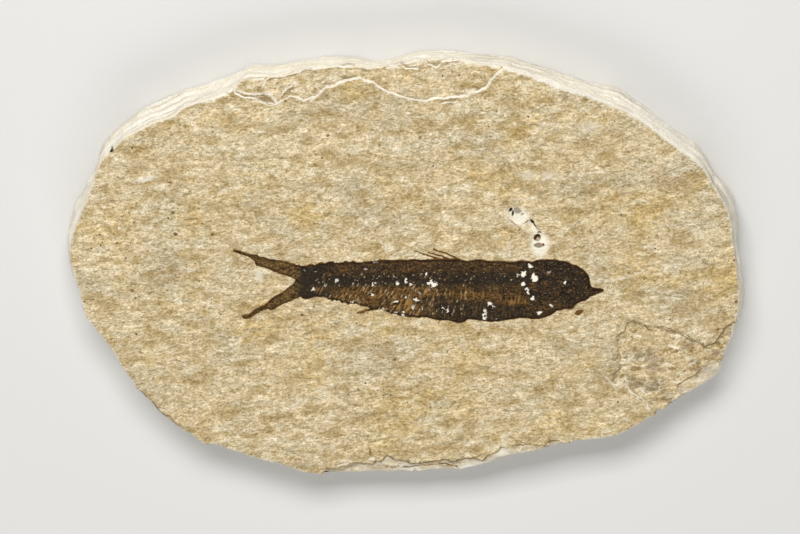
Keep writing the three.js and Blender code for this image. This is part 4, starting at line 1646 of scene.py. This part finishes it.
@dataclass
class FossilFish:
    """The fish in low relief: body, head, tail and fins in one piece."""

    name: str = "carved_fish"
    node: str = "fossil_fish"
    grain: float = 0.125
    sunk: float = 0.35
    crown: float = 0.3
    edge_rise: float = 0.07
    shoulder: float = 1.1
    least_rise: float = 0.03
    most_rise: float = 0.55
    ragged: float = 0.07
    finish: FossilBone = field(default_factory=FossilBone)
    splinter: Line = (
        (33.55, -9.8), (34.0, -9.2), (34.65, -9.05), (35.6, -9.1), (35.25, -9.5), (34.6, -10.2),
        (34.15, -10.1),
    )
    flakes: Tuple[Flake, ...] = (
        Flake(24.62, 0.35, (0.5, 0.36), -35.0),
        Flake(23.35, -1.4, (0.52, 0.5)),
        Flake(22.2, -1.55, (0.26, 0.2), 0.0, 0.8),
        Flake(25.35, -1.6, (0.38, 0.35)),
        Flake(25.65, -2.3, (0.75, 0.6), -15.0),
        Flake(23.35, -3.45, (0.5, 0.36), -20.0),
        Flake(24.2, -4.9, (0.9, 0.2), -64.0),
        Flake(25.2, -6.45, (0.38, 0.42)),
        Flake(28.7, -7.95, (0.5, 0.14), -42.0, 0.8),
        Flake(26.6, -9.6, (0.5, 0.34), 20.0),
        Flake(31.6, -3.3, (0.27, 0.26)),
        Flake(28.4, -1.0, (0.5, 0.22), 30.0, 0.35),
        Flake(16.6, -7.6, (0.5, 0.25), -10.0),
        Flake(17.3, -8.1, (0.28, 0.3), 0.0, 0.9),
        Flake(15.7, -9.3, (0.24, 0.6), 14.0),
        Flake(15.55, -9.9, (0.4, 0.26)),
        Flake(15.75, -10.8, (0.3, 0.36), 20.0),
        Flake(18.3, -10.85, (0.5, 0.12), 10.0, 0.5),
        Flake(5.1, -3.35, (1.05, 0.3), -4.0),
        Flake(5.7, -3.7, (0.75, 0.24), 22.0),
        Flake(5.05, -2.75, (0.16, 0.42), 12.0),
        Flake(4.5, -4.5, (0.3, 0.14), 40.0, 0.7),
        Flake(3.95, -1.4, (0.32, 0.3)),
        Flake(-0.2, -2.8, (0.18, 0.6), 8.0),
        Flake(-1.85, -3.3, (0.38, 0.2)),
        Flake(0.85, -3.5, (0.24, 0.2), 0.0, 0.9),
        Flake(-6.2, -3.05, (0.32, 0.22), 20.0, 0.9),
        Flake(-6.8, -3.7, (0.16, 0.4), -14.0, 0.9),
        Flake(-6.8, -5.6, (0.38, 0.22), 10.0, 0.9),
        Flake(-2.3, -7.2, (0.6, 0.19), 16.0),
        Flake(-0.3, -6.2, (0.25, 0.18), 0.0, 0.8),
        Flake(1.8, -6.75, (0.34, 0.22), -14.0, 0.9),
        Flake(2.5, -6.9, (0.2, 0.2), 0.0, 0.8),
        Flake(2.6, -5.25, (0.42, 0.14), -22.0, 0.7),
        Flake(1.38, -8.35, (0.18, 0.52), 0.0, 0.8),
        Flake(3.15, -8.55, (0.14, 0.36), 0.0, 0.7),
        Flake(8.28, -9.1, (0.26, 0.56), 6.0),
        Flake(7.4, -8.5, (0.55, 0.15), -52.0, 0.9),
        Flake(-4.6, -8.65, (0.26, 0.26), 0.0, 0.9),
        Flake(-0.7, -9.45, (0.28, 0.15), 0.0, 0.8),
        Flake(-0.75, -10.3, (0.24, 0.24), 0.0, 0.8),
        Flake(-2.0, -9.5, (0.2, 0.32), -20.0, 0.5),
        Flake(-2.4, -1.8, (0.17, 0.17), 0.0, 0.6),
        Flake(-8.2, -0.4, (0.32, 0.2), 0.0, 0.4),
        Flake(-6.2, 1.1, (0.36, 0.12), 0.0, 0.6),
        Flake(-10.95, -7.2, (0.2, 0.16), 0.0, 0.8),
        Flake(-10.6, -3.4, (0.14, 0.3), -25.0, 0.6),
        Flake(-13.95, -2.75, (0.22, 0.3), 0.0, 0.7),
        Flake(-18.6, -4.6, (0.22, 0.38), -20.0, 0.75),
        Flake(-18.85, -4.95, (0.2, 0.14), 0.0, 0.8),
        Flake(-16.4, -3.65, (0.2, 0.18), 0.0, 0.4),
        Flake(-20.35, -0.65, (0.14, 0.18), 0.0, 0.5),
        Flake(-18.05, -1.1, (0.3, 0.08), 0.0, 0.4),
        Flake(33.6, -9.2, (0.2, 0.18), 0.0, 0.6),
    )

    def build(self) -> Piece:
        """Draws the outline, pulls it up, evens it out and carves it.

        Returns:
            The finished piece.
        """
        chance = np.random.default_rng(11)
        plans = [self.torn(FISH_OUTLINE, chance)]
        plans += [self.ray_outline(points, half) for points, half in FIN_RAYS]
        plans.append(self.torn(self.splinter, chance))
        parts = [self.pulled_up(plan) for plan in plans]
        only(parts[0])
        for part in parts:
            part.select_set(True)
        bpy.ops.object.join()
        piece = bpy.context.view_layer.objects.active
        piece.name = self.name
        piece.data.name = self.name
        even_out(piece, self.grain)
        self.cut_base(piece)
        self.carve(piece, chance)
        dress(piece, self.finish, self.node)
        return piece

    def torn(self, outline: Sequence[Point], chance: np.random.Generator) -> List[Point]:
        """An outline with a finely ragged edge, more so at rib and spine tips.

        Args:
            outline: Corners of the outline.
            chance: Source of random draws.

        Returns:
            The outline with a corner every 0.3 mm or so.
        """
        step, spike_growth = 0.28, 2.6
        ragged: List[Point] = []
        for (ax, ay), (bx, by) in zip(outline, list(outline[1:]) + [outline[0]]):
            length = math.hypot(bx - ax, by - ay)
            count = max(1, round(length / step))
            side = (-(by - ay) / length, (bx - ax) / length)
            for i in range(count):
                x = ax + (bx - ax) * i / count
                y = ay + (by - ay) * i / count
                reach = self.ragged * (spike_growth if self.spiky(x, y) else 1.0)
                push = reach * float(chance.uniform(-1.0, 1.0))
                ragged.append((x + side[0] * push, y + side[1] * push))
        return ragged

    def spiky(self, x: float, y: float) -> bool:
        """Whether tips of ribs or spines stick out of the outline here."""
        at_belly = y < -6 and (-17 < x < -8 or -3 < x < 4)
        return at_belly or (y > -1 and -20 < x < -5)

    def ray_outline(self, points: Sequence[Point], half: Sequence[float]) -> List[Point]:
        """The outline of one thin fin ray.

        Args:
            points: Middle line of the ray.
            half: Half width at each point.

        Returns:
            The ray's outline.
        """
        left: List[Point] = []
        right: List[Point] = []
        for i, (x, y) in enumerate(points):
            ax, ay = points[max(i - 1, 0)]
            bx, by = points[min(i + 1, len(points) - 1)]
            length = math.hypot(bx - ax, by - ay)
            wide = max(half[i], LEAST_RAY_HALF)
            sx, sy = (ay - by) / length * wide, (bx - ax) / length * wide
            left.append((x + sx, y + sy))
            right.insert(0, (x - sx, y - sy))
        return left + right

    def pulled_up(self, outline: Sequence[Point]) -> Piece:
        """Lays an outline down as one flat face and extrudes it upwards.

        Args:
            outline: The corners, about the drawing's own centre.

        Returns:
            The closed block.
        """
        bpy.ops.object.select_all(action="DESELECT")
        floor = (SLAB_THICKNESS - 2.0 * self.sunk) * MM
        bpy.ops.mesh.primitive_circle_add(
            vertices=len(outline), radius=1.0 * MM, fill_type="NGON", location=(0, 0, 0),
        )
        part = bpy.context.active_object
        for vertex, (x, y) in zip(part.data.vertices, outline):
            px, py = placed(x, y)
            vertex.co = (px * MM, py * MM, floor)
        bpy.ops.object.mode_set(mode="EDIT")
        bpy.ops.mesh.select_all(action="SELECT")
        rise = (2.0 * self.sunk + self.crown) * MM
        bpy.ops.mesh.extrude_region_move(TRANSFORM_OT_translate={"value": (0, 0, rise)})
        bpy.ops.mesh.select_all(action="SELECT")
        bpy.ops.mesh.normals_make_consistent(inside=False)
        bpy.ops.object.mode_set(mode="OBJECT")
        return part

    def cut_base(self, piece: Piece) -> None:
        """Cuts the body off flat a little below the face of the stone.

        Args:
            piece: The fish.
        """
        only(piece)
        bpy.ops.object.mode_set(mode="EDIT")
        bpy.ops.mesh.select_all(action="SELECT")
        bpy.ops.mesh.bisect(
            plane_co=(0, 0, (SLAB_THICKNESS - self.sunk) * MM), plane_no=(0, 0, 1),
            use_fill=True, clear_inner=True,
        )
        bpy.ops.object.mode_set(mode="OBJECT")

    def carve(self, piece: Piece, chance: np.random.Generator) -> None:
        """Carves the body and stores the zones that its finish reads.

        Args:
            piece: The plain body.
            chance: Source of random draws.
        """
        world = mesh_points(piece)
        parts = BodyMap(reading(world))
        soft = 1.0 - np.exp(-np.maximum(parts.inner, 0.0) / self.shoulder)
        rise = self.edge_rise + self.crown * soft * (1.0 - 0.55 * parts.tail) + parts.relief()
        flaked, halo = self.flake_masks(parts.read)
        fleck = self.fleck_mask(parts.read, chance)
        rise += 0.03 * flaked * (1.0 - parts.tail) - 0.05 * halo
        rise = np.clip(rise, self.least_rise, self.most_rise)
        share = np.clip((world[:, 2] - SLAB_THICKNESS) / self.crown, 0.0, 1.0)
        above = world[:, 2] > SLAB_THICKNESS
        world[:, 2] = np.where(above, SLAB_THICKNESS + share * rise, world[:, 2])
        move_points(piece, world)
        zones = {**parts.zones(), "halo": 0.75 * halo, "fleck": fleck, "flaked": flaked}
        for name, values in zones.items():
            paint(piece, name, values)

    def flake_masks(self, read: Array) -> Tuple[Array, Array]:
        """Where the film is off, and a dark ring round each place.

        Args:
            read: Points in mm about the drawing's own centre.

        Returns:
            The masks of the flaked places and of their edges.
        """
        margin = 0.25
        warped = read[:, :2] + 0.3 * np.stack(
            [lumps(read, (0.32, 0.32, 9.0), 31), lumps(read, (0.32, 0.32, 9.0), 32)], axis=1,
        )
        flaked = np.zeros(len(read))
        halo = np.zeros(len(read))
        for flake in self.flakes:
            u, v = spread_out(warped, flake.x, flake.y, flake.turn)
            away = np.hypot(u / flake.half[0], v / flake.half[1])
            grown = np.hypot(u / (flake.half[0] + margin), v / (flake.half[1] + margin))
            flaked = np.maximum(flaked, flake.strength * fade(-away, -1.15, -0.8))
            halo = np.maximum(halo, flake.strength * fade(-grown, -1.1, -0.75))
        return flaked, halo * (1.0 - flaked)

    def fleck_mask(self, read: Array, chance: np.random.Generator) -> Array:
        """Tiny pale flecks: dots along the backbone, strokes on the belly.

        Args:
            read: Points in mm about the drawing's own centre.
            chance: Source of random draws.

        Returns:
            The mask of the flecks.
        """
        mask = np.zeros(len(read))
        dots, dashes = 70, 110
        for _ in range(dots):
            x = float(chance.uniform(-20.0, 24.0))
            y = float(along(BACKBONE, np.array([x]))[0] + chance.normal(0.0, 0.8))
            size = float(chance.uniform(0.07, 0.15))
            away = np.hypot(read[:, 0] - x, read[:, 1] - y) / size
            mask = np.maximum(mask, float(chance.uniform(0.3, 0.9)) * fade(-away, -1.4, -0.7))
        for _ in range(dashes):
            x = float(chance.uniform(-17.0, 12.0))
            y = float(chance.uniform(-9.8, -3.4))
            reach = float(chance.uniform(0.2, 0.42))
            lean = 0.5 - 0.4 * min(max((x + 4.0) / 12.0, 0.0), 1.0)
            across = (read[:, 0] - x) - lean * (read[:, 1] - y)
            away = np.hypot(across / 0.1, (read[:, 1] - y) / reach)
            mask = np.maximum(mask, float(chance.uniform(0.15, 0.8)) * fade(-away, -1.4, -0.7))
        return mask


@dataclass(frozen=True)
class Lamp:
    """A wide soft lamp that looks at the middle of the face.

    Height above the table and bearing from the slab's right end are in
    degrees, the power in watts, the size in metres and the distance in mm.
    """

    name: str
    height: float
    bearing: float
    power: float
    size: Tuple[float, float]
    distance: float = 900.0

    def hang(self) -> None:
        """Hangs the lamp in its place."""
        lamp = bpy.data.lights.new(self.name, "AREA")
        lamp.shape = "RECTANGLE"
        lamp.size, lamp.size_y = self.size
        lamp.energy = self.power
        holder = bpy.data.objects.new(self.name, lamp)
        up, round_ = math.radians(self.height), math.radians(self.bearing)
        away = self.distance * MM
        holder.location = (
            away * math.cos(up) * math.cos(round_),
            away * math.cos(up) * math.sin(round_),
            away * math.sin(up),
        )
        aim = Vector((0.0, 0.0, SLAB_THICKNESS * MM)) - holder.location
        holder.rotation_euler = aim.to_track_quat("-Z", "Y").to_euler()
        bpy.context.scene.collection.objects.link(holder)


@dataclass
class Studio:
    """The pale table, the soft lights and the camera."""

    table_size: float = 6000.0
    table_gap: float = 0.02
    tilt: float = 18.0
    distance: float = 750.0
    lens: float = 169.25
    sensor: float = 36.0
    look_at: Point = (-1.3, 0.0)
    sky: float = 0.28
    lamps: Tuple[Lamp, ...] = (
        Lamp("key", 50.0, 100.0, 7.2, (0.55, 0.3)),
        Lamp("fill", 38.0, -90.0, 3.3, (0.8, 0.4)),
    )

    def build(self) -> None:
        """Sets up everything round the slab."""
        self.lay_table()
        for lamp in self.lamps:
            lamp.hang()
        self.open_sky()
        self.place_camera()

    def lay_table(self) -> None:
        """Lays the table just under the slab."""
        bpy.ops.mesh.primitive_plane_add(
            size=self.table_size * MM, location=(0, 0, -self.table_gap * MM),
        )
        table = bpy.context.active_object
        table.name = "table"
        table.data.materials.append(PaintedTable().make())

    def open_sky(self) -> None:
        """Adds even white light from all sides, and plain picture colours."""
        world = bpy.data.worlds.new("studio")
        world.use_nodes = True
        back = world.node_tree.nodes["Background"]
        back.inputs["Color"].default_value = (1.0, 1.0, 1.0, 1.0)
        back.inputs["Strength"].default_value = self.sky
        bpy.context.scene.world = world
        bpy.context.scene.view_settings.view_transform = "Standard"

    def place_camera(self) -> None:
        """Puts the camera at the photograph's angle above the face."""
        lens = bpy.data.cameras.new("camera")
        lens.lens = self.lens
        lens.sensor_width = self.sensor
        lens.clip_end = 20.0
        camera = bpy.data.objects.new("camera", lens)
        tilt = math.radians(self.tilt)
        x, y = placed(*self.look_at)
        camera.location = (
            x * MM,
            (y + self.distance * math.sin(tilt)) * MM,
            (SLAB_THICKNESS + self.distance * math.cos(tilt)) * MM,
        )
        camera.rotation_euler = (-tilt, 0.0, 0.0)
        bpy.context.scene.collection.objects.link(camera)
        bpy.context.scene.camera = camera


def main() -> None:
    """Builds the slab, the fish and the studio, and reports each piece."""
    logging.basicConfig(level=logging.INFO, format="%(name)s: %(message)s")
    Studio().build()
    for maker in (LimestoneSlab(), FossilFish()):
        piece = maker.build()
        log.info("%s has %d faces", piece.name, len(piece.data.polygons))


if __name__ == "__main__":
    main()
